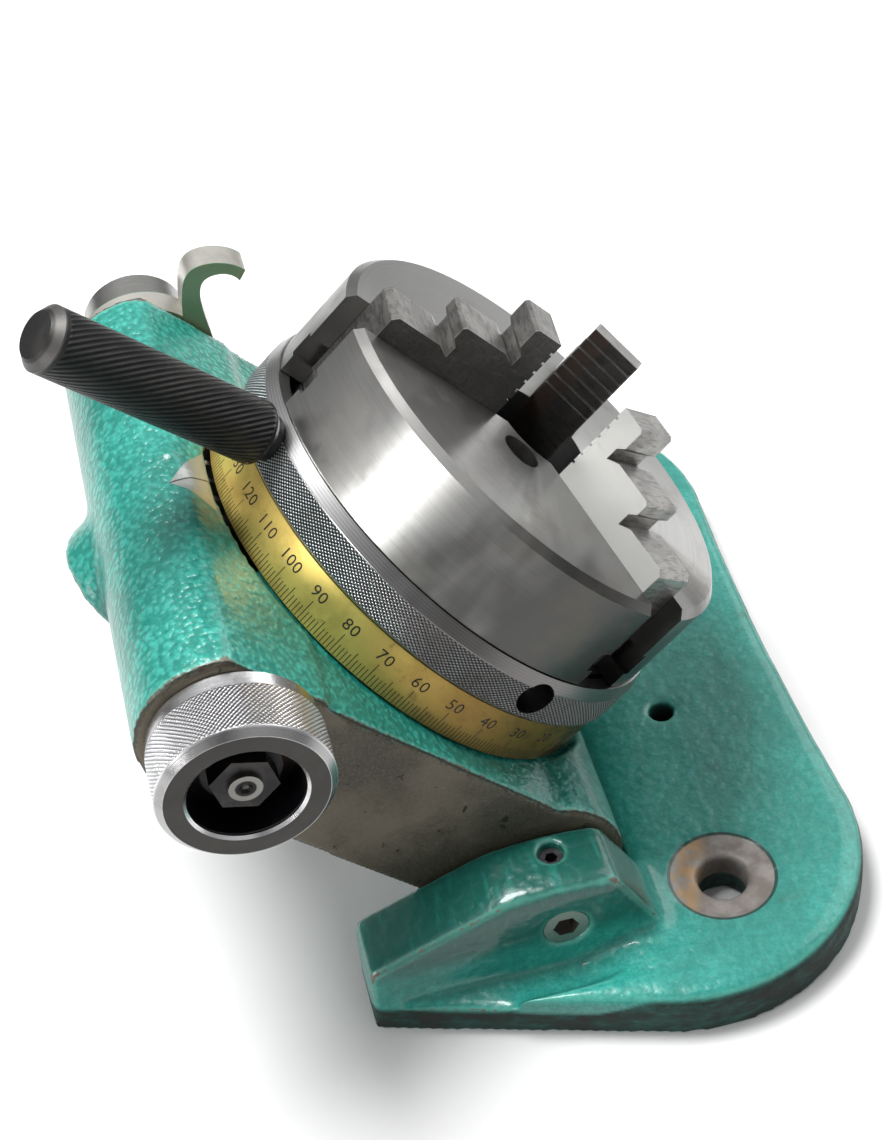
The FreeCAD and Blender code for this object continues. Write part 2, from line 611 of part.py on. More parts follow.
def chuck_body():
    """Steel chuck body with a bright bevel, three T-slots and counterbored screw holes."""
    outline = [
        ("chuck_bore_rad", 0), ("chuck_rad", 0), ("chuck_rad", "chuck_thick - chuck_edge"),
        ("chuck_rad - chuck_edge", "chuck_thick"), ("chuck_bore_rad", "chuck_thick"),
    ]
    tools = []
    for index in range(3):
        angle = jaw_angle(index)
        tools.append(across_slot("jaw_width / 2 + slot_gap", "tee_low", "chuck_thick + 1", angle))
        tools.append(across_slot("jaw_width / 2 + slot_gap", -1, "tee_low + 1", angle, "web_rad"))
        tools.append(across_slot("tee_half + slot_gap", "tee_low", "tee_high", angle))
        spot = spot_on("chuck_screw_circle", f"(jaw_start_angle + 60 + {120 * index})")
        tools.append(rod("chuck_screw_rad + 0.3", -1, "chuck_thick + 1", *spot))
        tools.append(rod("chuck_head_rad + chuck_head_gap",
                         "chuck_thick - chuck_head_sunk - chuck_head_high",
                         "chuck_thick + 1", *spot))
    finish("chuck_body", without(turned(outline), *tools), HEAD)


def chuck_screws():
    """Three cap screws that draw the chuck body on to the spindle's hub."""
    screws = []
    for index in range(3):
        spot = spot_on("chuck_screw_circle", f"(jaw_start_angle + 60 + {120 * index})")
        top = "(chuck_thick - chuck_head_sunk)"
        low = f"({top} - chuck_head_high)"
        socket = hex_hole("2.5", f"{top} - 3", f"{top} + 1")
        place(socket, *spot, f"{top} - 3")
        screws.append(without(
            fused(rod("chuck_head_rad", low, top, *spot),
                  rod("chuck_screw_rad - 0.02", "-screw_into_hub", low, *spot)), socket))
    finish("chuck_screws", fused(*screws), HEAD)


def spiral_thread():
    """The scroll thread: a flat spiral of quarter turns about the corners of a small square."""
    pitch = value("scroll_pitch")
    side = pitch / 4
    corners = [(side / 2, side / 2), (-side / 2, side / 2), (-side / 2, -side / 2),
               (side / 2, -side / 2)]
    ways = [(0, -1), (1, 0), (0, 1), (-1, 0)]
    wide = value("thread_wide")
    quarters = int(value(f"({SCROLL_RAD} - scroll_start_rad)") / side)

    def edge(offset):
        arcs = []
        radius = value("scroll_start_rad") + offset
        for step in range(quarters):
            centre = FreeCAD.Vector(*corners[step % 4], 0)
            first = FreeCAD.Vector(*ways[step % 4], 0)
            second = FreeCAD.Vector(*ways[(step + 1) % 4], 0)
            middle = (first + second).normalize()
            arcs.append(Part.Arc(centre + first * radius, centre + middle * radius,
                                 centre + second * radius).toShape())
            radius += side
        return arcs

    inner, outer = edge(-wide / 2), edge(wide / 2)
    start = Part.makeLine(inner[0].Vertexes[0].Point, outer[0].Vertexes[0].Point)
    end = Part.makeLine(inner[-1].Vertexes[-1].Point, outer[-1].Vertexes[-1].Point)
    wire = Part.Wire(Part.__sortEdges__(inner + [end] + outer + [start]))
    return Part.Face(wire).extrude(FreeCAD.Vector(0, 0, value("thread_high") + 1))


def scroll_ring():
    """Knurled ring and scroll in one: four handle holes in its rim, a spiral on its face."""
    disc_top = "(ring_back - ring_front_gap - thread_high)"
    face = "(ring_back - ring_front_gap)"
    outline = [
        ("hub_rad + run_fit", 0), ("ring_rad - 0.5", 0), ("ring_rad", 0.5),
        ("ring_rad", f"{face} - ring_band"), ("ring_rad - ring_band_drop", f"{face}"),
        (SCROLL_RAD, f"{face}"), (SCROLL_RAD, disc_top),
        ("hub_rad + run_fit", disc_top),
    ]
    ring = place(turned(outline), 0, 0, "-ring_back")
    thread = solid(spiral_thread(), "scroll_thread")
    thread.Placement = FreeCAD.Placement(
        FreeCAD.Vector(0, 0, value("-thread_high - ring_front_gap - 1")), FreeCAD.Rotation())
    holes = []
    for index in range(4):
        hole = rod("ring_hole_rad", "ring_rad - ring_hole_deep", "ring_rad + 3",
                   0, "-handle_mid", "y")
        holes.append(turned_about(hole, -(value("handle_angle") + 90.0 * index)))
    finish("scroll_ring", without(fused(ring, thread), *holes), HEAD)


def ring_handle():
    """Bar handle: a stub in the ring's hole, a narrow neck and a long grip with bevelled ends."""
    stub = "(ring_hole_rad - handle_stub_gap)"
    start = "(ring_rad - ring_hole_deep + 1)"
    end = f"(ring_rad - {start} + handle_out)"
    outline = [
        (0, 0), (stub, 0), (stub, f"ring_rad - {start} + 0.6"),
        ("handle_neck_rad", f"ring_rad - {start} + 0.6"),
        ("handle_neck_rad", f"ring_rad - {start} + handle_neck_len"),
        ("handle_rad - 1.2", f"ring_rad - {start} + handle_neck_len"),
        ("handle_rad", f"ring_rad - {start} + handle_neck_len + 1.6"),
        ("handle_rad", f"{end} - handle_end_bevel"),
        ("handle_rad - handle_end_bevel", end), (0, end),
    ]
    bar = turned(outline)
    bar.Placement = FreeCAD.Placement(FreeCAD.Vector(), TURN_TO["y"])
    place(bar, 0, start, "-handle_mid")
    finish("ring_handle", turned_about(bar, -value("handle_angle")), HEAD)


def spiral_radius(angle):
    """The scroll thread's mid-line radius on its first turn, at an angle from x towards y."""
    turns = ((angle + 90) % 360) / 360
    return value("scroll_start_rad") + value("scroll_pitch") * (turns - 1 / 8)


def jaw(index):
    """A stepped jaw, with tongues for the T-slot, gripping steps and teeth in the scroll."""
    face = "chuck_thick"
    profile_side = [
        ("jaw_inner", "tee_low + tee_play"), ("jaw_outer", "tee_low + tee_play"),
        ("jaw_outer", f"{face} + jaw_high_three - 1.5"),
        ("jaw_outer - 1.5", f"{face} + jaw_high_three"),
        ("jaw_step_two + jaw_notch", f"{face} + jaw_high_three"),
        ("jaw_step_two - jaw_notch", f"{face} + jaw_high_three - jaw_notch"),
        ("jaw_step_two - jaw_notch", f"{face} + jaw_high_three + jaw_notch"),
        ("jaw_step_two", f"{face} + jaw_high_three + 2 * jaw_notch"),
        ("jaw_step_two", f"{face} + jaw_high_two - 0.8"),
        ("jaw_step_two - 0.8", f"{face} + jaw_high_two"),
        ("jaw_step_one + jaw_notch", f"{face} + jaw_high_two"),
        ("jaw_step_one - jaw_notch", f"{face} + jaw_high_two - jaw_notch"),
        ("jaw_step_one - jaw_notch", f"{face} + jaw_high_two + jaw_notch"),
        ("jaw_step_one", f"{face} + jaw_high_two + 2 * jaw_notch"),
        ("jaw_step_one", f"{face} + jaw_high_one - 0.8"),
        ("jaw_step_one - 0.8", f"{face} + jaw_high_one"),
        ("jaw_inner", f"{face} + jaw_high_one"),
    ]
    blank = padded(profile_side, "jaw_width", "XZ_Plane", True)
    blank.Placement = FreeCAD.Placement(FreeCAD.Vector(), FreeCAD.Rotation(Z, 90))
    place(blank, "jaw_width / 2", 0, 0)
    tongues = block("-tee_half", "tee_half", "jaw_inner + 1", "jaw_outer - 1",
                    "tee_low + tee_play", "tee_high - tee_play")
    tail = block("-jaw_width / 2", "jaw_width / 2", "jaw_inner + 12", "jaw_outer - 1",
                 "tooth_gap - ring_front_gap", "tee_low + 1")
    pieces = [blank, tongues, tail]
    angle = jaw_angle(index)
    drawn = 90 - angle
    radius = spiral_radius(drawn) + value("scroll_pitch") / 2
    top = value("tee_low")
    low = value("-thread_high - ring_front_gap + tooth_gap")
    while radius < value("jaw_outer") - 3:
        if radius > value("jaw_inner") + 14:
            pieces.append(tooth(radius, low, top))
        radius += value("scroll_pitch")
    whole = fused(*pieces)
    cuts = []
    high = value("jaw_high_one + chuck_thick") - 3.0
    while high > value("chuck_thick") + 4:
        cuts.append(block("-jaw_width", "jaw_width", "jaw_inner - 1",
                          "jaw_inner + serration_deep", high - value("serration_wide"), high))
        high -= value("serration_pitch")
    whole = without(whole, *cuts)
    finish(f"jaw_{index + 1}", turned_about(whole, -angle), HEAD)


def tooth(radius, low, top):
    """One scroll tooth: a short curved rib with its middle at a radius up the jaw's way."""
    curve = value("tooth_curve")
    half = value("tooth_half_len")
    thick = value("tooth_thick") / 2
    centre = FreeCAD.Vector(0, radius - curve, low)

    def bow(size):
        reach = math.asin(half / curve)
        spots = [centre + FreeCAD.Vector(size * math.sin(a), size * math.cos(a), 0)
                 for a in (-reach, 0, reach)]
        return Part.Arc(*spots).toShape()

    inner, outer = bow(curve - thick), bow(curve + thick)
    sides = [Part.makeLine(inner.Vertexes[k].Point, outer.Vertexes[k].Point) for k in (0, 1)]
    wire = Part.Wire(Part.__sortEdges__([inner, sides[0], outer, sides[1]]))
    return solid(Part.Face(wire).extrude(FreeCAD.Vector(0, 0, top - low)), "scroll_tooth")


def on_worm_axis(name, thing):
    """Set a piece built along z on the worm shaft's axis, and take it into the model."""
    spot = FreeCAD.Vector(0, value(WORM_Y), value("worm_mid_z"))
    finish(name, thing, HEAD.multiply(FreeCAD.Placement(spot, TURN_TO["x"])))


def worm_thread():
    """One helical thread, swept along the worm's pitch line; its section is a trapezium."""
    lead = math.pi * value("module_size")
    radius = value("worm_pitch_rad")
    size = value("module_size")
    tip = radius + size
    root = radius - size - 0.45
    inner = root - 0.6
    slope = math.tan(math.radians(20))
    half = math.pi * size / 4 - value("tooth_backlash") / 2
    length = value("worm_len") - lead
    helix = Part.makeHelix(lead, length, radius)

    def spot(size_out, across):
        return FreeCAD.Vector(size_out, 0, across)

    tip_half = half - (tip - radius) * slope
    root_half = half + (radius - inner) * slope
    wire = Part.makePolygon([spot(inner, -root_half), spot(tip, -tip_half),
                             spot(tip, tip_half), spot(inner, root_half),
                             spot(inner, -root_half)])
    return Part.Wire(helix.Edges).makePipeShell([wire], True, True), length


def worm_shaft():
    """The worm shaft: worm in the middle, shoulders, two journals and a threaded front end."""
    root = "(worm_pitch_rad - module_size - 0.45)"
    end = f"({SIDE} + face_gap + lever_wide + collar_gap + collar_wide + shaft_over)"
    front = "(knob_end - knob_recess_deep)"
    start = "(knob_end - knob_recess_deep + knob_washer_thick + knob_nut_thick + stud_out)"
    core = fused(
        rod(root, "-worm_len / 2", "worm_len / 2"),
        rod("shaft_shoulder_rad", "-chamber_half + face_gap", "chamber_half - face_gap"),
        rod("shaft_rad", f"-{front}", end),
        rod("stud_rad", f"-{start}", "0"))
    sweep, length = worm_thread()
    thread = solid(sweep, "worm_thread")
    phase = 360.0 * (0.25 - length / (2 * math.pi * value("module_size")))
    thread.Placement = FreeCAD.Placement(FreeCAD.Vector(0, 0, -length / 2),
                                         FreeCAD.Rotation(Z, phase))
    centre = cone("1.6", "0", f"-{start}", f"-{start} + 1.6")
    on_worm_axis("worm_shaft", without(fused(core, thread), centre))


def worm_knob():
    """Knurled collar with a deep recess, and the washer and nut that hold it on the shaft."""
    back = f"({SIDE} + face_gap)"
    wide = f"(knob_end - {back})"
    outline = [
        ("shaft_rad", "knob_recess_deep"), ("knob_recess_rad", "knob_recess_deep"),
        ("knob_recess_rad", 0.8), ("knob_recess_rad + 0.8", 0),
        ("knob_rad - knob_bevel", 0), ("knob_rad", "knob_bevel"),
        ("knob_rad", f"{wide} - knob_base_wide"), ("knob_base_rad", f"{wide} - knob_base_wide"),
        ("knob_base_rad", f"{wide} - 0.6"), ("knob_base_rad - 0.6", wide),
        ("shaft_rad", wide),
    ]
    on_worm_axis("worm_knob", place(turned(outline), 0, 0, "-knob_end"))
    front = "(-knob_end + knob_recess_deep)"
    on_worm_axis("knob_washer", tube("knob_washer_rad", "stud_rad",
                                     f"{front} - knob_washer_thick", front))
    top = f"({front} - knob_washer_thick)"
    flange = rod("knob_nut_flange", f"{top} - 1.8", top)
    nut = without(
        fused(hex_hole("knob_nut_flat", f"{top} - knob_nut_thick", top), flange),
        rod("stud_rad", f"{top} - knob_nut_thick - 1", f"{top} + 1"))
    on_worm_axis("knob_nut", nut)


def release_lever():
    """Sleeve in the barrel's far end, the finger lever clamped on it, and its grub screw."""
    start = f"({SIDE} + face_gap)"
    end = f"({start} + lever_wide)"
    on_worm_axis("release_sleeve",
                 tube("worm_bush_rad - run_fit", "shaft_rad + run_fit",
                      "chamber_half", end))
    hub = rod("lever_hub_rad", start, end)
    reach = value("lever_reach")
    rise = value("lever_rise")
    hub_rad = value("lever_hub_rad")
    root, mid, tip = (value(word) / 2 for word in ("lever_root", "lever_mid", "lever_tip"))
    spine = [(0.64 * hub_rad, -0.5 * hub_rad, root), (0.65 * reach, 0.36 * rise, mid),
             (0.86 * reach, rise, mid), (reach, 0.27 * rise, tip),
             (1.04 * reach, -0.9 * rise, tip)]

    def side_of_lever(side):
        spots = []
        for index, (out, up, half) in enumerate(spine):
            before = spine[max(index - 1, 0)]
            after = spine[min(index + 1, len(spine) - 1)]
            run = FreeCAD.Vector(before[0] - after[0], after[1] - before[1], 0).normalize()
            square = FreeCAD.Vector(-run.y, run.x, 0)
            spots.append(FreeCAD.Vector(-out, up, 0) + square * (side * half))
        curve = Part.BSplineCurve()
        curve.interpolate(spots)
        return curve.toShape(), spots

    upper, upper_spots = side_of_lever(1)
    lower, lower_spots = side_of_lever(-1)
    ends = [Part.makeLine(upper_spots[spot], lower_spots[spot]) for spot in (0, -1)]
    wire = Part.Wire(Part.__sortEdges__([upper, ends[1], lower, ends[0]]))
    arm = solid(Part.Face(wire).extrude(FreeCAD.Vector(0, 0, value("lever_wide"))), "arm")
    arm.Placement = FreeCAD.Placement(FreeCAD.Vector(0, 0, value(start)), FreeCAD.Rotation())
    bore = rod("worm_bush_rad - run_fit", f"{start} - 1", f"{end} + 1")
    screw_low = "(worm_bush_rad - run_fit)"
    hole = rod("lever_screw_rad", "-lever_hub_rad - 2", f"-{screw_low} + 2", 0,
               f"{start} + lever_wide / 2", "y")
    tilted_hole = turned_about(hole, 60)
    on_worm_axis("release_lever", without(fused(hub, arm), bore, tilted_hole))
    grub = turned_about(rod("lever_screw_rad - 0.05", "-lever_hub_rad + 0.5", f"-{screw_low}",
                            0, f"{start} + lever_wide / 2", "y"), 60)
    on_worm_axis("lever_grub_screw", grub)
    collar_start = f"({end} + collar_gap)"
    outline = [
        ("shaft_rad", 0), ("collar_rad - 0.5", 0), ("collar_rad", 0.5),
        ("collar_rad", "collar_wide - 1.2"), ("collar_rad - 1.2", "collar_wide"),
        ("shaft_rad", "collar_wide"),
    ]
    ring = place(turned(outline), 0, 0, collar_start)
    hole = rod("collar_hole_rad", "collar_rad - collar_hole_deep", "collar_rad + 2", 0,
               f"{collar_start} + collar_wide * 0.6", "y")
    on_worm_axis("shaft_collar", without(ring, turned_about(hole, 118)))


base_casting()
pivot_screws()
housing()
head_bushes()
rear_cover()
worm_wheel()
spindle()
dial_ring()
chuck_body()
chuck_screws()
scroll_ring()
ring_handle()
for number in range(3):
    jaw(number)
worm_shaft()
worm_knob()
release_lever()

doc.recompute()
broken = [f"{item.Name} ({item.Label})" for item in doc.Objects
          if "Invalid" in item.State or "Error" in item.State]
if broken:
    raise RuntimeError("these did not build: " + ", ".join(broken))
for name, piece in finished.items():
    if piece.Shape.isNull() or not piece.Shape.isValid():
        raise RuntimeError(f"{name} has no valid shape")
for name, piece in finished.items():
    piece.Shape.exportStep(f"parts/{name}.step")
    print(name, len(piece.Shape.Solids), round(piece.Shape.Volume, 1))
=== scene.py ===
"""A tilting indexing chuck: green hammered castings, a brass degree dial, a knurled scroll ring,
a ground chuck body with stepped jaws, a blackened bar handle and a knurled knob."""

import json
import math

import bmesh
import bpy
import numpy as np
from mathutils import Matrix, Vector

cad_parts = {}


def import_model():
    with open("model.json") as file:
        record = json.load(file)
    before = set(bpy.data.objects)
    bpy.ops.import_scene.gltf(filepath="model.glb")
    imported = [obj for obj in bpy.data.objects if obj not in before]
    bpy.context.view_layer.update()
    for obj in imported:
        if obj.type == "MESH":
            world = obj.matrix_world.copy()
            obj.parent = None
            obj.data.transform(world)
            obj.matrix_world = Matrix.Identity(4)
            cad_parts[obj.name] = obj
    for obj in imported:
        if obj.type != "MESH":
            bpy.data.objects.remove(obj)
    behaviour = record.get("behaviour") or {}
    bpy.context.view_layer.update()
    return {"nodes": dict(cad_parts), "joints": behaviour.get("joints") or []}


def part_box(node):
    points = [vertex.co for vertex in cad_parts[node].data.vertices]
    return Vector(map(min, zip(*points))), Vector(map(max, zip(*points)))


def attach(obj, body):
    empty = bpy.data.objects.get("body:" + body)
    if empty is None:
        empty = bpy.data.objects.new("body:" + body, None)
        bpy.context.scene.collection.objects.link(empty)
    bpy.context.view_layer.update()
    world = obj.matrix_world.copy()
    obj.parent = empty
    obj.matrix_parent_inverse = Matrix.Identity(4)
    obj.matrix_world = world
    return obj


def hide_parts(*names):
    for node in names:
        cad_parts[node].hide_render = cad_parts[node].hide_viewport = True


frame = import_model()

MM = 0.001
JOINTS = {joint["name"]: joint for joint in frame["joints"]}


def joint_axis(name):
    """A joint's place and unit direction, in metres in the row frame."""
    joint = JOINTS[name]
    way = np.array(joint["axis"], float)
    return np.array(joint["pos_m"], float), way / np.linalg.norm(way)


# The head's own frame: x across the base, y up the head, z out along the spindle.
CENTRE, OUT = joint_axis("spindle_spin")
ACROSS = np.array([0.0, 1.0, 0.0])
UP = np.cross(OUT, ACROSS)
HEAD = np.stack([ACROSS, UP, OUT], axis=1)
WORM_SPOT, _ = joint_axis("worm_spin")
WORM_WAY = np.array([0.0, 1.0, 0.0])
WORM_AXES = np.stack([OUT, np.cross(WORM_WAY, OUT), WORM_WAY], axis=1)


def in_row(points):
    """Head coordinates in millimetres turned into row coordinates in metres."""
    return CENTRE + (np.asarray(points, float) * MM) @ HEAD.T


def in_head(points):
    """Row coordinates in metres turned into head coordinates in millimetres."""
    return (np.asarray(points, float) - CENTRE) @ HEAD / MM


# ------------------------------------------------------------------ shader maths


class Socket:
    """A shader socket that takes part in Python expressions."""

    def __init__(self, paint, link):
        self.paint, self.link = paint, link

    def math(self, operation, *others):
        return self.paint.node("ShaderNodeMath", {"operation": operation}, [self, *others])

    def __add__(self, other):
        return self.math("ADD", other)

    __radd__ = __add__

    def __sub__(self, other):
        return self.math("SUBTRACT", other)

    def __rsub__(self, other):
        return self.paint.node("ShaderNodeMath", {"operation": "SUBTRACT"}, [other, self])

    def __mul__(self, other):
        return self.math("MULTIPLY", other)

    __rmul__ = __mul__

    def __truediv__(self, other):
        return self.math("DIVIDE", other)

    def __abs__(self):
        return self.math("ABSOLUTE")

    def __pow__(self, other):
        return self.math("POWER", other)

    def sine(self):
        return self.math("SINE")

    def step(self, low, high):
        """0 below low, 1 above high, and a smooth rise between them."""
        settings = {"interpolation_type": "SMOOTHSTEP", "clamp": True}
        return self.paint.node("ShaderNodeMapRange", settings,
                               {"Value": self, "From Min": low, "From Max": high})


class Paint:
    """One material, made node by node."""

    def __init__(self, name):
        self.material = bpy.data.materials.new(name)
        self.material.use_nodes = True
        self.tree = self.material.node_tree
        self.shader = self.tree.nodes["Principled BSDF"]

    def node(self, kind, settings=None, inputs=(), output=0):
        """A node of a type, with its settings made first and then its sockets filled."""
        made = self.tree.nodes.new(kind)
        for key, setting in (settings or {}).items():
            setattr(made, key, setting)
        pairs = inputs.items() if isinstance(inputs, dict) else enumerate(inputs)
        for key, item in pairs:
            self.fill(made.inputs[key], item)
        return Socket(self, made.outputs[output])

    def fill(self, socket, item):
        if isinstance(item, Socket):
            self.tree.links.new(item.link, socket)
        elif item is not None:
            socket.default_value = item

    def place(self, origin=(0, 0, 0), turn=None):
        """Object coordinates in millimetres, from an origin and axes of their own."""
        here = self.node("ShaderNodeTexCoord", output="Object")
        euler = Matrix(turn.tolist()).to_euler() if turn is not None else (0, 0, 0)
        local = self.node("ShaderNodeMapping", {"vector_type": "TEXTURE"},
                          {"Vector": here, "Location": tuple(origin), "Rotation": tuple(euler)})
        return self.node("ShaderNodeVectorMath", {"operation": "SCALE"},
                         {"Vector": local, "Scale": 1 / MM})

    def parts(self, vector):
        split = self.tree.nodes.new("ShaderNodeSeparateXYZ")
        self.fill(split.inputs[0], vector)
        return [Socket(self, split.outputs[index]) for index in range(3)]

    def joined(self, x, y, z):
        return self.node("ShaderNodeCombineXYZ", inputs=[x, y, z])

    def noise(self, vector, scale, detail=3.0, rough=0.5, stretch=None):
        if stretch:
            vector = self.node("ShaderNodeVectorMath", {"operation": "MULTIPLY"},
                               [vector, stretch])
        return self.node("ShaderNodeTexNoise", inputs={
            "Vector": vector, "Scale": scale, "Detail": detail, "Roughness": rough})

    def cells(self, vector, scale):
        """The distance from the nearest of scattered points, smoothed where cells meet."""
        return self.node("ShaderNodeTexVoronoi", {"feature": "SMOOTH_F1"},
                         {"Vector": vector, "Scale": scale})

    def mix(self, share, first, second):
        """A colour between two, by a share of the second."""
        made = self.tree.nodes.new("ShaderNodeMix")
        made.data_type = "RGBA"
        self.fill(made.inputs["Factor"], share)
        for name, item in (("A", first), ("B", second)):
            socket = next(s for s in made.inputs if s.name == name and s.type == "RGBA")
            self.fill(socket, item if isinstance(item, Socket) else (*item, 1))
        return Socket(self, next(s for s in made.outputs if s.type == "RGBA"))

    def bump(self, height, distance, strength=1.0, under=None):
        """A normal raised by a height between 0 and 1, over a distance in millimetres."""
        return self.node("ShaderNodeBump", inputs={
            "Height": height, "Distance": distance * MM, "Strength": strength,
            "Normal": under})

    def finish(self, **sockets):
        for name, item in sockets.items():
            socket = self.shader.inputs[name.replace("_", " ")]
            if not isinstance(item, Socket) and socket.type == "RGBA":
                item = (*item, 1)
            self.fill(socket, item)
        return self.material


def polar(paint, vector):
    """Angle in radians from x towards y, and distance from z."""
    x, y, z = paint.parts(vector)
    angle = paint.node("ShaderNodeMath", {"operation": "ARCTAN2"}, [y, x])
    radius = (x * x + y * y) ** 0.5
    return angle, radius, z


# ------------------------------------------------------------------ finishes

# Places on the base, in millimetres in the row frame.
BOLT_Y, SPOT_RAD = 81.0, 13.7           # the bolt holes' spotfaces, on both sides
PIVOT_X, PIVOT_Z = -44.9, 22.3          # the tilt's axis
LOCK_Y = 79.0                           # the lock screws, over that axis
TAPPED_X, TAPPED_Y = 2.4, -21.0
PLATE_TOP, FORK_TOP = 14.0, 9.0         # the plate's top, and lower at the fork's open end
SLOPE_X, SLOPE_LONG = -42.0, 14.0       # the slope between them

# Places on the head, in millimetres and degrees in the head's own frame.
SIDE = 71.7                             # half its width, over the ground ends
HANDLE_ANGLE = -6.5                     # the bar's, from up the head towards x
DIAL_RAD = 63.2
DIAL_LOW, DIAL_HIGH = -28.5, -14.1
DIAL_AT_INDEX = 127.5                   # the reading under the index line
INDEX_ANGLE = -5.0
BARREL_UP, BARREL_OUT, BARREL_RAD = 59.0, -45.5, 23.2
PAD_SLOPE = math.radians(49.0)          # the index pad's normal, from up towards out
PAD_FLAT = 22.0                         # the pad's distance from the barrel's axis
PAD_MIDDLE = -4.0


def pad_axes(up, out):
    """A place's distance from the barrel's axis along the index pad's normal, and along the
    pad itself: up and out from that axis, turned by the pad's slope."""
    up, out = up - BARREL_UP, out - BARREL_OUT
    reach = up * math.cos(PAD_SLOPE) + out * math.sin(PAD_SLOPE)
    run = up * -math.sin(PAD_SLOPE) + out * math.cos(PAD_SLOPE)
    return reach, run


def pad_triangle(x, run):
    """The distance from the index line, and half the pad's width there. Both grow in
    proportion to the share of the way from the pad's tip, 3.6 mm back, over 6 mm."""
    share = (run + 3.6) / 6.0
    return abs(x + 6.8 - share * 2.2), share * 6.6


def blotched(p, here, colour, stain):
    """Old stains: a darker colour where slow noise is above a level."""
    patch = p.noise(here, 0.09, 6.0, 0.68)
    return p.mix(patch.step(0.50, 0.68) * 0.6, colour, stain)


def paint_coat(p, here, low, high, cell, spread):
    """Hammered paint: cells of a bent Voronoi pattern, pale in their middles and dark in the
    creases between, with fine mottling over them. Returns colour and height."""
    drift = p.node("ShaderNodeTexNoise", inputs={"Vector": here, "Scale": 0.5}, output="Color")
    drift = p.node("ShaderNodeVectorMath", {"operation": "SCALE"},
                   {"Vector": drift, "Scale": 1.5})
    bent = p.node("ShaderNodeVectorMath", {"operation": "ADD"}, [here, drift])
    dimple = p.cells(bent, cell)
    fine = p.noise(here, 1.1, 4.0, 0.65)
    slow = p.noise(here, 0.035, 4.0, 0.6)
    crest = 1 - dimple.step(0.12, 0.62)
    colour = p.mix(crest * spread + fine.step(0.35, 0.70) * (1 - spread), low, high)
    colour = p.mix(slow.step(0.40, 0.66) * 0.45, colour, tuple(0.62 * c for c in low))
    return colour, crest


def worn_paint(p, here, colour):
    """Dirt in patches, painted shade in the hollows, paler rubbed edges, and bare spots on the
    sharpest of them.
    """
    edge = p.node("ShaderNodeAttribute", {"attribute_name": "wear"}, output="Fac")
    hollow_shade = p.node("ShaderNodeAttribute", {"attribute_name": "hollow_shade"}, output="Fac")
    speck = p.noise(here, 0.7, 5.0, 0.7)
    dirt = p.noise(here, 0.06, 6.0, 0.7).step(0.60, 0.74)
    colour = p.mix(dirt * 0.45, colour, (0.012, 0.075, 0.050))
    pale = (edge + speck * 0.4).step(0.55, 0.95)
    colour = p.mix(pale * 0.40, colour, (0.16, 0.52, 0.42))
    worn = (edge * 0.9 + speck * 0.6).step(1.04, 1.14)
    colour = p.mix(worn, colour, (0.17, 0.15, 0.12))
    # painted shade: the hollows darkened almost to black-green, by how far the surface bends
    # inward
    colour = p.mix(hollow_shade * 0.85, colour, (0.003, 0.032, 0.024))
    return colour, worn, dirt


def bare_iron(p, here):
    """Machined cast iron with a brown cast, cloudy stains and small dark chips."""
    cloud = p.noise(here, 0.045, 4.0, 0.6)
    grain = p.noise(here, 1.2, 3.0, 0.6)
    chip = p.noise(here, 0.30, 4.0, 0.6).step(0.655, 0.675)
    colour = p.mix(cloud.step(0.35, 0.65), (0.150, 0.128, 0.094), (0.070, 0.063, 0.046))
    colour = p.mix(grain.step(0.4, 0.7) * 0.35, colour, (0.19, 0.17, 0.13))
    return p.mix(chip * 0.9, colour, (0.012, 0.011, 0.010))


def head_green(name):
    """The head's thick hammered paint; its two ground ends and the index pad are bare."""
    p = Paint(name)
    here = p.place()
    colour, crest = paint_coat(p, here, (0.006, 0.190, 0.148), (0.055, 0.440, 0.365), 0.62, 0.66)
    colour, worn, dirt = worn_paint(p, here, colour)
    _, y, _ = p.parts(here)
    ragged = p.noise(here, 0.25, 4.0, 0.6) * 0.5
    bare = (abs(y) + ragged).step(SIDE - 0.15, SIDE + 0.05)
    lip = (abs(y) + ragged).step(SIDE - 0.75, SIDE - 0.45) * (1 - bare)
    colour = p.mix(lip * 0.8, colour, (0.004, 0.020, 0.015))
    colour = p.mix(bare, colour, bare_iron(p, here))
    # The index pad: a plane cut on the barrel, bare inside a triangle that opens to the dial.
    x, up, out = p.parts(p.place(CENTRE, HEAD))
    reach, run = pad_axes(up, out)
    aside, half = pad_triangle(x, run)
    pad = (half - aside).step(-0.3, 0.4) * reach.step(17.0, 18.0)
    pad = pad * (1 - run.step(10.5, 11.0)) * run.step(-3.8, -3.4)
    scratch = p.noise(here, 1.2, 3.0, 0.6, (1.0, 5.0, 1.0))
    colour = p.mix(pad, colour, p.mix(scratch, (0.50, 0.52, 0.50), (0.30, 0.33, 0.31)))
    line = (1 - aside.step(0.16, 0.34)) * pad
    colour = p.mix(line * 0.9, colour, (0.02, 0.02, 0.02))
    shiny = 1 - bare - pad + bare * pad
    normal = p.bump(crest * shiny, 0.32, 0.60)
    normal = p.bump(p.noise(here, 0.30, 2.0), 0.8, 0.30, normal)
    return p.finish(Base_Color=colour, Coat_Weight=shiny * 0.28, Coat_Roughness=0.10,
                    Roughness=0.32 + worn * 0.25 + dirt * 0.15 + bare * 0.18,
                    Normal=normal, Metallic=worn * 0.5 + bare * 0.45 + pad * 0.6)


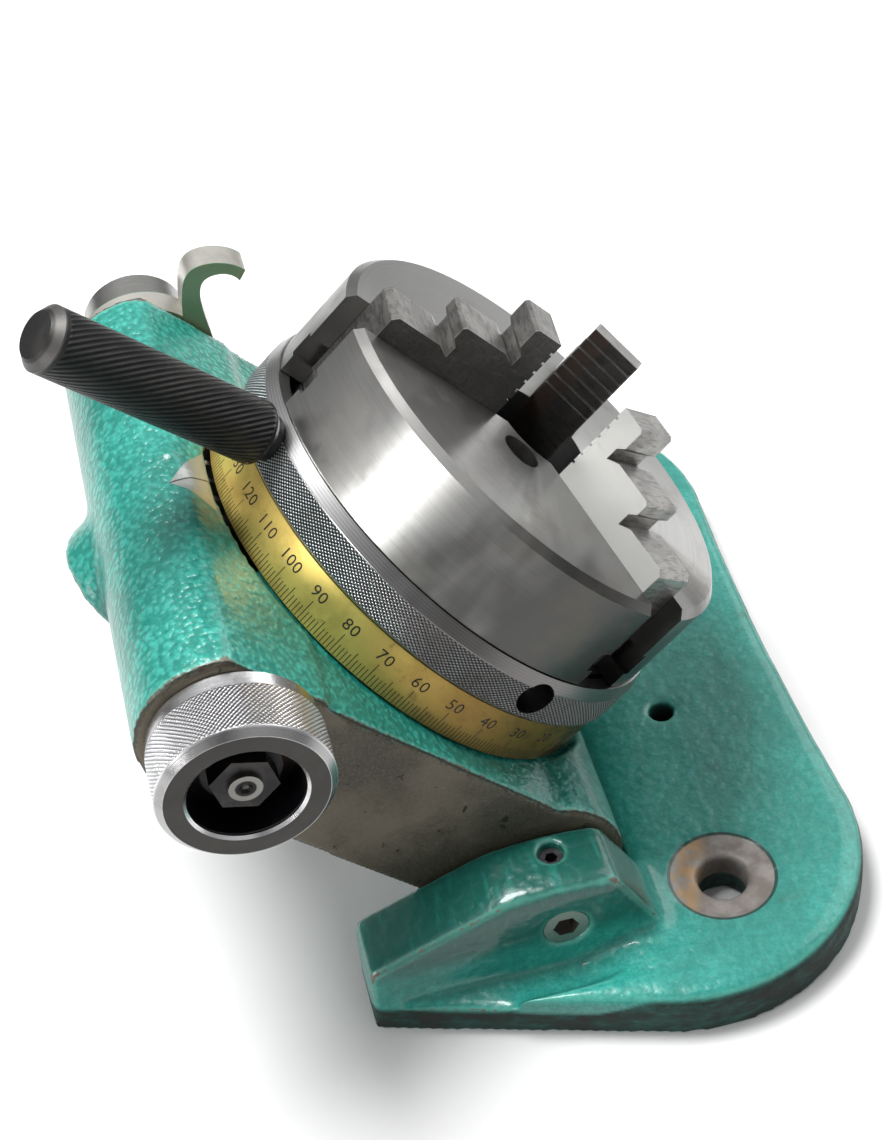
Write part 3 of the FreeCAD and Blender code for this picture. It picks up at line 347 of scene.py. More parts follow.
def base_green(name):
    """The base's smoother brushed paint: painted shade up the cheeks and on the side walls,
    mottled there, a painted shadow round the spotfaces' walls, and rusty ground spotfaces."""
    p = Paint(name)
    here = p.place()
    x, y, z = p.parts(here)
    colour, crest = paint_coat(p, here, (0.014, 0.250, 0.205), (0.048, 0.400, 0.335), 0.40, 0.35)
    brush = p.noise(here, 0.55, 3.0, 0.6, (1.0, 0.16, 0.5))
    colour = p.mix(brush.step(0.50, 0.78) * 0.30, colour, (0.060, 0.400, 0.320))
    # painted shade: the cheeks darkened above the plate, a little less along the brush streaks
    cheek_shade = z.step(16.0, 24.0) * (0.90 - brush.step(0.50, 0.78) * 0.35)
    colour = p.mix(cheek_shade, colour, (0.003, 0.085, 0.064))
    colour, worn, dirt = worn_paint(p, here, colour)
    # painted shade on the side walls: near-black green where they are steep, mottled by noise
    side_shade = p.node("ShaderNodeAttribute", {"attribute_name": "side_shade"}, output="Fac")
    wall_mottle = p.noise(here, 0.10, 6.0, 0.7, (1.0, 1.0, 2.2))
    wall_shade = side_shade * (0.78 + wall_mottle.step(0.30, 0.60) * 0.22)
    wall_shade_colour = p.mix(wall_mottle.step(0.45, 0.70), (0.006, 0.020, 0.015), (0.018, 0.021, 0.017))
    colour = p.mix(wall_shade, colour, wall_shade_colour)
    aside = abs(y) - BOLT_Y
    radius = (x * x + aside * aside) ** 0.5
    spot = (1 - radius.step(SPOT_RAD - 0.35, SPOT_RAD)) * z.step(6.0, 7.0)
    rim = (1 - radius.step(SPOT_RAD + 0.5, SPOT_RAD + 0.9)) - spot
    rust = p.noise(here, 0.16, 4.0, 0.6)
    ground = p.mix(rust.step(0.35, 0.65), (0.290, 0.268, 0.250), (0.190, 0.165, 0.148))
    ochre = rust.step(0.40, 0.56) * (-1 * x - aside * 0.4).step(4.0, 9.0)
    ground = p.mix(ochre * 0.8, ground, (0.43, 0.27, 0.13))
    # painted shadow: a near-black ring round each spotface, on its wall above 12 mm
    colour = p.mix((rim * z.step(12.0, 12.5)).step(0.3, 0.6) * 0.85, colour,
                   (0.008, 0.012, 0.010))
    colour = p.mix(spot, colour, ground)
    gloss = 1 - spot
    normal = p.bump(crest * gloss, 0.22, 0.45)
    normal = p.bump(p.noise(here, 0.20, 2.0), 0.9, 0.35, normal)
    return p.finish(Base_Color=colour, Coat_Weight=gloss * 0.50 * (1 - wall_shade),
                    Coat_Roughness=0.08, Metallic=worn * 0.5 + spot * 0.4, Normal=normal,
                    Roughness=0.34 + worn * 0.25 + dirt * 0.15 + wall_shade * 0.45 + spot * 0.15)


def lathe_rings(p, angle, radius, z):
    """Fine rings from a lathe: noise that changes fast along the radius and the axis, and
    slowly round them."""
    return p.noise(p.joined(radius * 9.0, z * 9.0, angle * 0.6), 1.0, 2.0, 0.6)


def oil_film(p, angle, radius, z):
    """Painted shade on turned steel: a dark band, strongest at the foot on the knob's side, with
    a soft ragged border. The share is a sine of the angle, bent by noise."""
    bend = p.noise(p.joined(radius * 0.012, z * 0.02, angle * 2.6), 1.0, 3.0, 0.55) - 0.5
    return (angle + math.radians(262.0) + bend * 1.2).sine().step(0.55, 0.95)


def turned_steel(name, origin, axes, tone=(0.46, 0.455, 0.44), stain=0.4, rough=0.24,
                 bore_shade_radius=0.0, far_shade=0.0):
    """Steel turned on a lathe: fine rings about an axis, faint stains, faint bands of painted
    reflection, a soft brushed gloss and a band of painted shade at the foot. The share far_shade
    paints shade on the side away from the knob, and the bore is painted dark as shade inside a
    given radius."""
    p = Paint(name)
    here = p.place(origin, axes)
    angle, radius, z = polar(p, here)
    fine = lathe_rings(p, angle, radius, z)
    reflection_bands = p.noise(p.joined(radius * 1.3, z * 1.3, angle * 2.2), 1.0, 3.0, 0.6)
    patch = p.noise(here, 0.045, 5.0, 0.62)
    foot_shade = oil_film(p, angle, radius, z)
    colour = p.mix(fine.step(0.3, 0.7) * 0.35, tone, tuple(0.72 * c for c in tone))
    # painted reflection: faint darker bands round the axis, as streaks of a room's reflection
    colour = p.mix(reflection_bands.step(0.4, 0.65) * 0.22, colour, tuple(0.6 * c for c in tone))
    # painted shade: the band at the foot darkened nearly to black
    colour = p.mix(foot_shade * 0.93, colour, tuple(0.10 * c for c in tone))
    x, _, _ = p.parts(here)
    # painted shade: the side away from the knob darkened
    colour = p.mix(x.step(-12.0, 34.0) * far_shade, colour, tuple(0.30 * c for c in tone))
    colour = p.mix(patch.step(0.52, 0.70) * stain, colour, (0.17, 0.15, 0.12))
    inside = 0.0
    # painted shade: the bore darkened almost to black inside the given radius
    if bore_shade_radius:
        inside = 1 - radius.step(bore_shade_radius, bore_shade_radius + 0.5)
        colour = p.mix(inside * 0.9, colour, (0.012, 0.011, 0.012))
    rougher = rough + fine * 0.10 + patch.step(0.5, 0.7) * 0.12 + inside * 0.3
    return p.finish(Base_Color=colour, Roughness=rougher, Metallic=1.0,
                    Normal=p.bump(fine, 0.02, 0.6))


def diamonds(p, angle, z, rounds, pitch):
    """A diamond knurl's height: the product of two families of slanted sine ridges."""
    turn = angle * (rounds / 2)
    climb = z * (math.pi / pitch)
    return abs((turn + climb).sine()) * abs((turn - climb).sine())


def ring_knurl(name, low, high, band):
    """The scroll ring: a fine knurl with painted shade in its grooves and painted glints on its
    crests, and a lathe-lined front land.
    """
    p = Paint(name)
    here = p.place(CENTRE, HEAD)
    angle, radius, z = polar(p, here)
    rings = lathe_rings(p, angle, radius, z)
    patch = p.noise(here, 0.05, 5.0, 0.62)
    foot_shade = oil_film(p, angle, radius, z)
    ridge = diamonds(p, angle, z, 290, 0.95)
    zone = z.step(low, low + 0.3) * (1 - z.step(high - 0.3, high))
    zone = zone * radius.step(band - 0.3, band - 0.1)
    lines = (z * (2 * math.pi / 0.75)).sine() * 0.5 + 0.5
    colour = p.mix(rings.step(0.3, 0.7) * 0.3, (0.50, 0.50, 0.50), (0.34, 0.34, 0.34))
    colour = p.mix(lines.step(0.2, 0.6) * (1 - zone) * 0.35, colour, (0.16, 0.16, 0.16))
    # painted shade: the front land darkened in the band at the foot
    colour = p.mix(foot_shade * 0.80, colour, (0.13, 0.12, 0.115))
    # painted shade in the knurl's grooves, and painted glints on its crests below
    knurl = p.mix(ridge.step(0.10, 0.62), (0.030, 0.030, 0.040), (0.46, 0.455, 0.46))
    knurl = p.mix(ridge.step(0.66, 0.92) * 0.8, knurl, (0.85, 0.85, 0.86))
    # brown stains, and painted shade on the knurl in the band at the foot
    knurl = p.mix(patch.step(0.45, 0.68) * 0.30 + foot_shade * 0.50, knurl, (0.125, 0.098, 0.092))
    colour = p.mix(zone, colour, knurl)
    normal = p.bump(ridge * zone, 0.35, 1.0)
    normal = p.bump(rings * (1 - zone), 0.02, 0.6, normal)
    return p.finish(Base_Color=colour, Normal=normal, Metallic=1.0,
                    Roughness=0.26 + rings * 0.10 + zone * (1 - ridge.step(0.1, 0.5)) * 0.3)


def knob_metal(name, low, high, band):
    """The knob: a bright knurled rim with painted shade in its grooves, a dull stained face, and
    painted shade in its recess with brown oil patches.
    """
    p = Paint(name)
    here = p.place(WORM_SPOT, WORM_AXES)
    angle, radius, z = polar(p, here)
    rings = lathe_rings(p, angle, radius, z)
    patch = p.noise(here, 0.09, 5.0, 0.62)
    ridge = diamonds(p, angle, z, 104, 1.2)
    zone = z.step(low, low + 0.3) * (1 - z.step(high - 0.3, high))
    zone = zone * radius.step(band - 0.3, band - 0.1)
    colour = p.mix(rings.step(0.3, 0.7) * 0.3, (0.74, 0.74, 0.75), (0.52, 0.52, 0.54))
    colour = p.mix(patch.step(0.50, 0.70) * 0.35, colour, (0.20, 0.19, 0.20))
    # painted shade in the knurl's grooves
    knurl = p.mix(ridge.step(0.06, 0.40), (0.20, 0.20, 0.23), (0.90, 0.90, 0.91))
    colour = p.mix(zone, colour, knurl)
    end, recess, land = -92.0, 14.4, 19.2
    face = (1 - z.step(end + 0.03, end + 0.15)) * radius.step(recess, recess + 0.2)
    face = face * (1 - radius.step(land - 0.1, land + 0.1))
    dull = p.mix(patch.step(0.35, 0.65), (0.048, 0.045, 0.038), (0.034, 0.031, 0.027))
    colour = p.mix(face, colour, dull)
    bevel = (1 - z.step(end + 1.4, end + 1.8)) * radius.step(land, land + 0.2)
    colour = p.mix(bevel * 0.55, colour, (0.150, 0.140, 0.135))
    # painted shade: the recess darkened almost to black, with brown oil patches
    recess_shade = z.step(end + 1.0, end + 1.8) * (1 - radius.step(recess - 0.4, recess))
    recess_shade_and_oil = p.mix(patch.step(0.5, 0.7), (0.008, 0.008, 0.012), (0.050, 0.030, 0.022))
    colour = p.mix(recess_shade, colour, recess_shade_and_oil)
    normal = p.bump(ridge * zone, 0.45, 1.0)
    normal = p.bump(rings * (1 - zone), 0.02, 0.6, normal)
    return p.finish(Base_Color=colour, Normal=normal, Metallic=1.0 - face * 0.75 - recess_shade * 0.3,
                    Roughness=0.20 + rings * 0.10 + face * 0.18 + recess_shade * 0.15)


def black_oxide(name):
    """Blackened steel with a brown cast and faint handling wear."""
    p = Paint(name)
    here = p.place()
    patch = p.noise(here, 0.10, 5.0, 0.65)
    grain = p.noise(here, 2.2, 3.0, 0.6)
    colour = p.mix(patch.step(0.4, 0.7), (0.016, 0.016, 0.018), (0.055, 0.050, 0.046))
    return p.finish(Base_Color=colour, Roughness=0.32 + grain * 0.15, Metallic=0.7,
                    Normal=p.bump(grain, 0.05, 0.4))


def shaft_metal(name):
    """The worm shaft: turned steel, its stud end a bright ring about a centre hole painted dark
    as shade, its very middle left pale as a painted reflection.
    """
    p = Paint(name)
    here = p.place(WORM_SPOT, WORM_AXES)
    angle, radius, z = polar(p, here)
    fine = lathe_rings(p, angle, radius, z)
    patch = p.noise(here, 0.09, 5.0, 0.62)
    colour = p.mix(fine.step(0.3, 0.7) * 0.35, (0.50, 0.495, 0.48), (0.34, 0.34, 0.33))
    colour = p.mix(patch.step(0.5, 0.7) * 0.4, colour, (0.17, 0.15, 0.12))
    shoulder, stud_rad, hole_rad = -74.0, 4.2, 2.5
    stud = (1 - z.step(shoulder - 1.0, shoulder))
    stud = stud * (1 - radius.step(stud_rad - 0.1, stud_rad + 0.1))
    # painted shade in the centre hole, its very middle left pale as a painted reflection
    hole = stud * (1 - radius.step(hole_rad - 0.2, hole_rad + 0.2)) * radius.step(0.7, 1.0)
    colour = p.mix(stud * 0.85, colour, (0.16, 0.152, 0.140))
    colour = p.mix(hole * 0.95, colour, (0.010, 0.010, 0.010))
    return p.finish(Base_Color=colour, Roughness=0.28 + fine * 0.10, Metallic=1.0,
                    Normal=p.bump(fine, 0.02, 0.6))


def handle_black(name):
    """The bar's blackened grip: slanted knurl lines over its length, with painted shade in their
    grooves, rubbed paler on their crests, smooth bevelled ends with a pale edge."""
    p = Paint(name)
    theta = math.radians(HANDLE_ANGLE)
    way = HEAD @ np.array([math.sin(theta), math.cos(theta), 0.0])
    axes = np.stack([OUT, np.cross(way, OUT), way], axis=1)
    here = p.place(CENTRE + HEAD @ np.array([0, 0, -7 * MM]), axes)
    angle, radius, z = polar(p, here)
    starts, lead = 34, 92.0
    grip_low, grip_high = 69.4, 130.6
    lines = (angle * starts + z * (2 * math.pi * starts / lead)).sine() * 0.5 + 0.5
    grip = z.step(grip_low, grip_low + 0.6) * (1 - z.step(grip_high - 0.6, grip_high))
    grip = grip * radius.step(7.6, 8.0)
    patch = p.noise(here, 0.09, 5.0, 0.65)
    grain = p.noise(here, 1.6, 3.0, 0.6)
    colour = p.mix(patch.step(0.4, 0.68), (0.022, 0.022, 0.023), (0.050, 0.047, 0.044))
    # painted shade: the knurl's grooves darkened nearly to black
    colour = p.mix((1 - lines.step(0.10, 0.55)) * grip * 0.9, colour, (0.003, 0.003, 0.004))
    colour = p.mix(lines.step(0.75, 1.0) * grip * 0.30, colour, (0.115, 0.110, 0.105))
    edge = z.step(131.2, 131.6) * (1 - z.step(133.2, 133.9)) * radius.step(6.2, 6.6)
    colour = p.mix(edge * (0.20 + grain * 0.4), colour, (0.20, 0.19, 0.18))
    normal = p.bump(lines * grip, 0.40, 1.0)
    normal = p.bump(grain, 0.04, 0.4, normal)
    return p.finish(Base_Color=colour, Roughness=0.40 + grain * 0.12, Metallic=0.6,
                    Normal=normal)


def dial_brass(name):
    """Satin brass, with painted shade along both edges where it meets its neighbours, and stains
    and painted shade darkening its lower side, brown and smeared towards the foot.
    """
    p = Paint(name)
    here = p.place(CENTRE, HEAD)
    angle, radius, z = polar(p, here)
    _, up, _ = p.parts(here)
    fine = p.noise(p.joined(radius * 6.0, z * 12.0, angle * 1.5), 1.0, 2.0, 0.6)
    patch = p.noise(here, 0.05, 5.0, 0.65)
    blot = p.noise(here, 0.22, 5.0, 0.7)
    # stains and painted shade: the dial darker brown towards its lower side
    lower_stain_and_shade = 1 - up.step(4.0, 44.0)
    colour = p.mix(fine.step(0.3, 0.7) * 0.35, (0.92, 0.68, 0.19), (0.74, 0.52, 0.12))
    colour = p.mix(patch.step(0.45, 0.66) * 0.55, colour, (0.52, 0.34, 0.08))
    colour = p.mix(lower_stain_and_shade * 0.82, colour, (0.190, 0.098, 0.020))
    colour = p.mix((blot + lower_stain_and_shade * 0.10).step(0.58, 0.75) * 0.55, colour, (0.20, 0.125, 0.040))
    # stains and painted shade: dark smears gathering at the foot
    foot = 1 - up.step(-46.0, -4.0)
    colour = p.mix((blot + foot * 0.22).step(0.58, 0.78) * foot * 0.9, colour,
                   (0.035, 0.035, 0.015))
    # painted shade along both edges, where the dial meets the casting and the ring
    edge = 1 - z.step(DIAL_LOW + 0.05, DIAL_LOW + 0.45)
    edge = edge + z.step(DIAL_HIGH - 0.65, DIAL_HIGH - 0.2)
    colour = p.mix(edge * 0.85, colour, (0.04, 0.026, 0.012))
    return p.finish(Base_Color=colour, Roughness=0.32 + fine * 0.14 + lower_stain_and_shade * 0.06,
                    Metallic=0.68, Normal=p.bump(fine, 0.02, 0.5))


def jaw_steel(name, angle, side_shade=(0.060, 0.058, 0.056), near=0.0):
    """Hardened jaw: ground top lands, rubbed edges, a side in painted shade, darker on some jaws
    than others, and on one jaw a ground side painted bright as lit, with fine tooth marks along
    its foot."""
    p = Paint(name)
    g = math.radians(angle)
    radial = np.array([math.sin(g), math.cos(g), 0.0])
    axes = HEAD @ np.stack([np.cross(radial, [0, 0, 1.0]), radial, [0, 0, 1.0]], axis=1)
    here = p.place(CENTRE, axes)
    x, y, z = p.parts(here)
    patch = p.noise(here, 0.12, 5.0, 0.65)
    scratch = p.noise(here, 1.0, 3.0, 0.6, (3.0, 0.25, 1.2))
    streak = p.noise(here, 0.55, 3.0, 0.6, (0.35, 2.2, 1.6))
    half, tip_y = 7.5, 17.5
    side = abs(x).step(half - 0.25, half - 0.05)
    bright = x.step(half - 0.25, half - 0.05) * near
    colour = p.mix(patch.step(0.35, 0.7), (0.24, 0.235, 0.225), (0.40, 0.39, 0.375))
    colour = p.mix(scratch.step(0.5, 0.75) * 0.4, colour, (0.58, 0.57, 0.55))
    colour = p.mix(streak.step(0.48, 0.66) * 0.55, colour, (0.085, 0.080, 0.074))
    rub = abs(x).step(half - 0.6, half - 0.3) * (1 - side)
    colour = p.mix(rub * 0.6, colour, (0.62, 0.61, 0.60))
    # painted shade: the jaw's side darkened to its given colour
    colour = p.mix(side * 0.85, colour, side_shade)
    colour = p.mix(side * scratch.step(0.55, 0.8) * 0.25, colour, (0.22, 0.21, 0.20))
    tooth = (y * (2 * math.pi / 1.1)).sine() * 0.35
    foot = 1 - (z - tooth).step(0.9, 1.3)
    # painted light: on the near jaw the ground side is painted bright as lit
    colour = p.mix(bright * 0.92, colour, (0.50, 0.50, 0.485))
    colour = p.mix(bright * foot * 0.7, colour, (0.20, 0.195, 0.18))
    tip = 1 - y.step(tip_y - 0.3, tip_y)
    brown = tip * (1 - side) * (1 - x.step(-2.6, -2.2))
    colour = p.mix(tip * (1 - side) * 0.7, colour, (0.030, 0.028, 0.027))
    colour = p.mix(brown * 0.6, colour, (0.160, 0.105, 0.085))
    return p.finish(Base_Color=colour, Metallic=0.95 - bright * 0.45,
                    Roughness=0.28 + scratch * 0.16 + side * 0.1,
                    Normal=p.bump(scratch, 0.03, 0.5))


def lever_finish(name):
    """Worn plated lever: cream edges, its flat side still in thin green paint."""
    p = Paint(name)
    here = p.place()
    low, high = (corner[1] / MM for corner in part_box("release_lever"))
    _, y, _ = p.parts(here)
    grain = p.noise(here, 1.4, 3.0, 0.6)
    patch = p.noise(here, 0.12, 5.0, 0.65)
    flat = 1 - y.step(low + 0.1, low + 0.5) + y.step(high - 0.5, high - 0.1)
    colour = p.mix(patch.step(0.4, 0.7) * 0.5, (0.62, 0.60, 0.55), (0.42, 0.41, 0.36))
    paint = p.mix(grain.step(0.3, 0.7) * 0.5, (0.135, 0.260, 0.175), (0.185, 0.300, 0.205))
    paint = p.mix((patch + grain * 0.2).step(0.62, 0.74) * 0.6, paint, (0.28, 0.30, 0.20))
    colour = p.mix(flat * 0.9, colour, paint)
    return p.finish(Base_Color=colour, Roughness=0.28 + flat * 0.14 + grain * 0.1,
                    Metallic=0.75 - flat * 0.55, Normal=p.bump(grain, 0.04, 0.4))


def plain_metal(name, tone, stain, rough=0.35, metallic=1.0):
    """Machined metal with fine grain and stains."""
    p = Paint(name)
    here = p.place()
    grain = p.noise(here, 1.4, 3.0, 0.6, (1.0, 4.0, 1.0))
    colour = p.mix(grain.step(0.3, 0.7) * 0.4, tone, tuple(0.7 * c for c in tone))
    colour = blotched(p, here, colour, stain)
    return p.finish(Base_Color=colour, Roughness=rough + grain * 0.12, Metallic=metallic,
                    Normal=p.bump(grain, 0.04, 0.5))


def dressed(name, material):
    """Give a carried-over node its material."""
    mesh = frame["nodes"][name].data
    mesh.materials.clear()
    mesh.materials.append(material)


# ------------------------------------------------------------------ mesh helpers


def made(name, points, faces, material, body, slot):
    """A new flat-shaded piece from points in metres and faces, riding on a body."""
    mesh = bpy.data.meshes.new(name)
    mesh.from_pydata(np.asarray(points, float).tolist(), [], [list(map(int, f)) for f in faces])
    mesh.polygons.foreach_set("use_smooth", np.full(len(mesh.polygons), False))
    mesh.materials.append(material)
    mesh.validate()
    piece = bpy.data.objects.new(name, mesh)
    bpy.context.scene.collection.objects.link(piece)
    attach(piece, body)
    return piece


SKIN_TRIANGLES = 190000     # a skin's, as voxels leave about 3.1 to their own width squared


def casting(name, node, material, body, rounds, machined, dressing=None):
    """A cast skin over a node: its shape remeshed evenly, as fine as its share of triangles
    allows, then each point drawn towards the mean of its neighbours and part of the way back
    a few times, and then without the way back except near machined places, so corners round
    and roots fill as in a sand casting."""
    source = frame["nodes"][node]
    mesh = source.data.copy()
    shape = bmesh.new()
    shape.from_mesh(mesh)
    bmesh.ops.remove_doubles(shape, verts=shape.verts, dist=1e-6)
    area = sum(face.calc_area() for face in shape.faces)
    shape.to_mesh(mesh)
    shape.free()
    piece = bpy.data.objects.new(name, mesh)
    bpy.context.scene.collection.objects.link(piece)
    remesh = piece.modifiers.new("even", "REMESH")
    remesh.mode = "VOXEL"
    remesh.voxel_size = math.sqrt(3.1 * area / SKIN_TRIANGLES)
    even = bpy.data.meshes.new_from_object(piece.evaluated_get(
        bpy.context.evaluated_depsgraph_get()))
    piece.modifiers.clear()
    piece.data = even
    even.name = name
    even.materials.clear()
    even.materials.append(material)
    points, edges = read_points(even), read_edges(even)
    low, high = points.min(0), points.max(0)
    if dressing is not None:
        points = dressing(points)
    soft = relaxed(points, edges, 7)
    bend = curvature(soft, edges, even)
    soft = relaxed(soft, edges, rounds, 0.0, 1 - machined(soft)[:, None])
    soft = np.clip(soft, low, high)
    even.vertices.foreach_set("co", soft.ravel())
    even.update()
    even.polygons.foreach_set("use_smooth", np.full(len(even.polygons), True))
    calm = pad_zone(soft) if dressing is pad_filled else 1.0
    write_share(even, "wear", np.clip(bend / 0.10, 0, 1) * calm)
    # the share of painted shade, where the skin bends inward
    write_share(even, "hollow_shade", np.clip(-bend / 0.12 - 0.15, 0, 1))
    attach(piece, body)
    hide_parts(node)
    return piece


def near_spot(points, spot, way, radius):
    """1 within a radius in millimetres of a line through a spot, and 0 a little outside."""
    away = points / MM - np.asarray(spot, float)
    way = np.asarray(way, float)
    off = np.linalg.norm(away - (away @ way)[:, None] * way, axis=1)
    return np.clip(radius + 1.0 - off, 0, 1)


def base_machined(points):
    """The base's bolt holes, tapped hole, pivot holes, lock-screw holes and underside."""
    z = [0, 0, 1]
    shares = [np.clip(1.6 - points[:, 2] / MM, 0, 1)]
    for side in (-1, 1):
        shares.append(near_spot(points, (0, side * BOLT_Y, 0), z, SPOT_RAD + 1.0))
        shares.append(near_spot(points, (PIVOT_X, side * LOCK_Y, 0), z, 4.6))
    shares.append(near_spot(points, (TAPPED_X, TAPPED_Y, 0), z, 4.8))
    shares.append(near_spot(points, (PIVOT_X, 0, PIVOT_Z), [0, 1, 0], 7.2))
    return np.max(shares, axis=0)


def head_machined(points):
    """The head's ground ends and its dial seat."""
    here = in_head(points)
    ends = np.clip((np.abs(here[:, 0]) - SIDE + 1.4) / 0.8, 0, 1)
    seat = np.clip(69.0 - np.hypot(here[:, 0], here[:, 1]), 0, 1)
    return np.maximum(ends, seat * np.clip(here[:, 2] + 33.0, 0, 1))


def pad_zone(points):
    """0 within 13 mm of the index pad and 1 away from it, where edges can wear."""
    middle = np.array([PAD_MIDDLE, BARREL_UP + PAD_FLAT * math.cos(PAD_SLOPE),
                       BARREL_OUT + PAD_FLAT * math.sin(PAD_SLOPE)])
    return (np.linalg.norm(in_head(points) - middle, axis=1) > 13.0).astype(float)


def pad_filled(points):
    """The barrel about the index pad brought back to its round, apart from the pad's own
    triangle, which is planed flat: radius = flat's distance / cosine of the angle from it."""
    here = in_head(points)
    reach, run = pad_axes(here[:, 1], here[:, 2])
    radius = np.hypot(reach, run)
    near = (np.abs(here[:, 0] - PAD_MIDDLE) < 7.5) & (np.abs(run) < 12.5)
    near &= (radius > 19.0) & (radius < BARREL_RAD + 0.4) & (reach > 0)
    near &= here[:, 2] < DIAL_LOW + 0.2
    aside, half = pad_triangle(here[:, 0], run)
    flat = PAD_FLAT * radius / np.maximum(reach, 1.0)
    wanted = np.where(aside < half, np.minimum(flat, BARREL_RAD), BARREL_RAD)
    grow = np.where(near, wanted / np.maximum(radius, 1.0), 1.0)
    axis = np.array([BARREL_UP, BARREL_OUT])
    here[:, 1:] = axis + (here[:, 1:] - axis) * grow[:, None]
    return in_row(here)


def write_flanks(piece):
    """The share of painted shade on the base's side walls: steep faces below the plate's top,
    which steps down in a slope towards the fork's open end."""
    mesh = piece.data
    here = read_points(mesh) / MM
    flat = np.empty(len(mesh.vertices) * 3)
    mesh.vertices.foreach_get("normal", flat)
    steep = np.clip((0.75 - np.abs(flat.reshape(-1, 3)[:, 2])) / 0.35, 0, 1)
    climb = np.clip((here[:, 0] - SLOPE_X) / SLOPE_LONG, 0, 1)
    top = FORK_TOP + climb * (PLATE_TOP - FORK_TOP)
    write_share(mesh, "side_shade", steep * np.clip(top - 0.4 - here[:, 2], 0, 1))


def read_points(mesh):
    flat = np.empty(len(mesh.vertices) * 3)
    mesh.vertices.foreach_get("co", flat)
    return flat.reshape(-1, 3)


def read_edges(mesh):
    flat = np.empty(len(mesh.edges) * 2, dtype=np.int64)
    mesh.edges.foreach_get("vertices", flat)
    return flat.reshape(-1, 2)


def neighbour_mean(values, edges):
    """The mean of each point's neighbours, by edges."""
    total = np.zeros_like(values)
    count = np.zeros(len(values))
    for first, second in ((0, 1), (1, 0)):
        count += np.bincount(edges[:, first], minlength=len(values))
        for column in range(values.shape[1]):
            total[:, column] += np.bincount(edges[:, first], values[edges[:, second], column],
                                            minlength=len(values))
    return total / np.maximum(count, 1)[:, None]


def relaxed(points, edges, rounds, back=0.42, free=1.0):
    """Each point moves over half-way to its neighbours' mean, then part of that way back, so
    that the surface turns smooth; with nothing taken back, edges round off further. The
    share free says how far each point may move."""
    for _ in range(rounds):
        points = points + 0.60 * free * (neighbour_mean(points, edges) - points)
        if back:
            points = points - back * free * (neighbour_mean(points, edges) - points)
    return points


def curvature(points, edges, mesh):
    """How far each point stands out of its neighbours' mean, along its normal, in parts of a
    millimetre, spread a little over the surface."""
    mesh.vertices.foreach_set("co", points.ravel())
    mesh.update()
    flat = np.empty(len(mesh.vertices) * 3)
    mesh.vertices.foreach_get("normal", flat)
    normals = flat.reshape(-1, 3)
    stand = ((points - neighbour_mean(points, edges)) * normals).sum(1)[:, None] / MM
    for _ in range(3):
        stand = 0.5 * stand + 0.5 * neighbour_mean(stand, edges)
    return stand[:, 0]


def write_share(mesh, name, values):
    layer = mesh.attributes.new(name, "FLOAT", "POINT")
    layer.data.foreach_set("value", np.asarray(values, np.float32))


# ------------------------------------------------------------------ dial figures and marks

INK_LIFT = 0.02             # how far the ink stands out of the brass
MARK_HALF = 0.11
MARK_FOOT = DIAL_LOW + 0.5
FIGURE_TALL, FIGURE_FOOT = 4.6, DIAL_LOW + 7.6


def dial_angle(reading):
    """The angle from up the head towards x at which a reading stands, at rest. The figures
    fall from the index round by the knob to the foot of the head."""
    return INDEX_ANGLE - (DIAL_AT_INDEX - reading)


def on_dial(along, across, middle, lift):
    """Flat points wrapped on the dial: along runs round it in millimetres from a middle
    angle in degrees, across runs along the spindle."""
    theta = np.radians(middle) + np.asarray(along) / DIAL_RAD
    radius = DIAL_RAD + lift
    return np.stack([radius * np.sin(theta), radius * np.cos(theta), np.asarray(across)],
                    axis=-1)


def dial_marks(material):
    """A mark each degree from the rear edge: short, longer at each fifth, longest at tenths."""
    readings = np.arange(360)
    length = np.where(readings % 10 == 0, 6.2, np.where(readings % 5 == 0, 4.8, 3.4))
    corners = np.array([[-1, 0], [1, 0], [1, 1], [-1, 1]], float)
    along = np.repeat(corners[None, :, 0] * MARK_HALF, 360, axis=0)
    across = MARK_FOOT + corners[None, :, 1] * length[:, None]
    middle = dial_angle(readings)[:, None] * np.ones((1, 4))
    points = in_row(on_dial(along, across, middle, INK_LIFT).reshape(-1, 3))
    faces = np.arange(360 * 4).reshape(360, 4)[:, ::-1]
    return made("dial_marks", points, faces, material, "rotor", "dark_steel")


def dial_figures(material):
    """The numbers at each tenth degree, read with the spindle's end up, bent to the dial."""
    points, faces, start = [], [], 0
    for reading in range(0, 360, 10):
        words = bpy.data.curves.new("figure", "FONT")
        words.body = str(reading)
        words.size = FIGURE_TALL
        words.align_x = "CENTER"
        words.space_character = 1.06
        words.resolution_u = 3
        holder = bpy.data.objects.new("figure", words)
        bpy.context.scene.collection.objects.link(holder)
        bpy.context.view_layer.update()
        flat = bpy.data.meshes.new_from_object(
            holder.evaluated_get(bpy.context.evaluated_depsgraph_get()))
        here = read_points(flat)
        middle = np.full(len(here), dial_angle(reading))
        points.append(in_row(on_dial(-here[:, 0], FIGURE_FOOT + here[:, 1], middle,
                                     INK_LIFT)))
        faces += [[start + v for v in polygon.vertices][::-1] for polygon in flat.polygons]
        start += len(here)
        bpy.data.objects.remove(holder)
        bpy.data.curves.remove(words)
        bpy.data.meshes.remove(flat)
    return made("dial_figures", np.concatenate(points), faces, material, "rotor",
                "dark_steel")


# ------------------------------------------------------------------ dress the part

black = black_oxide("black oxide")
chuck_steel = turned_steel("ground chuck steel", CENTRE, HEAD, (0.56, 0.555, 0.54), 0.35,
                           rough=0.27, bore_shade_radius=15.0, far_shade=0.75)
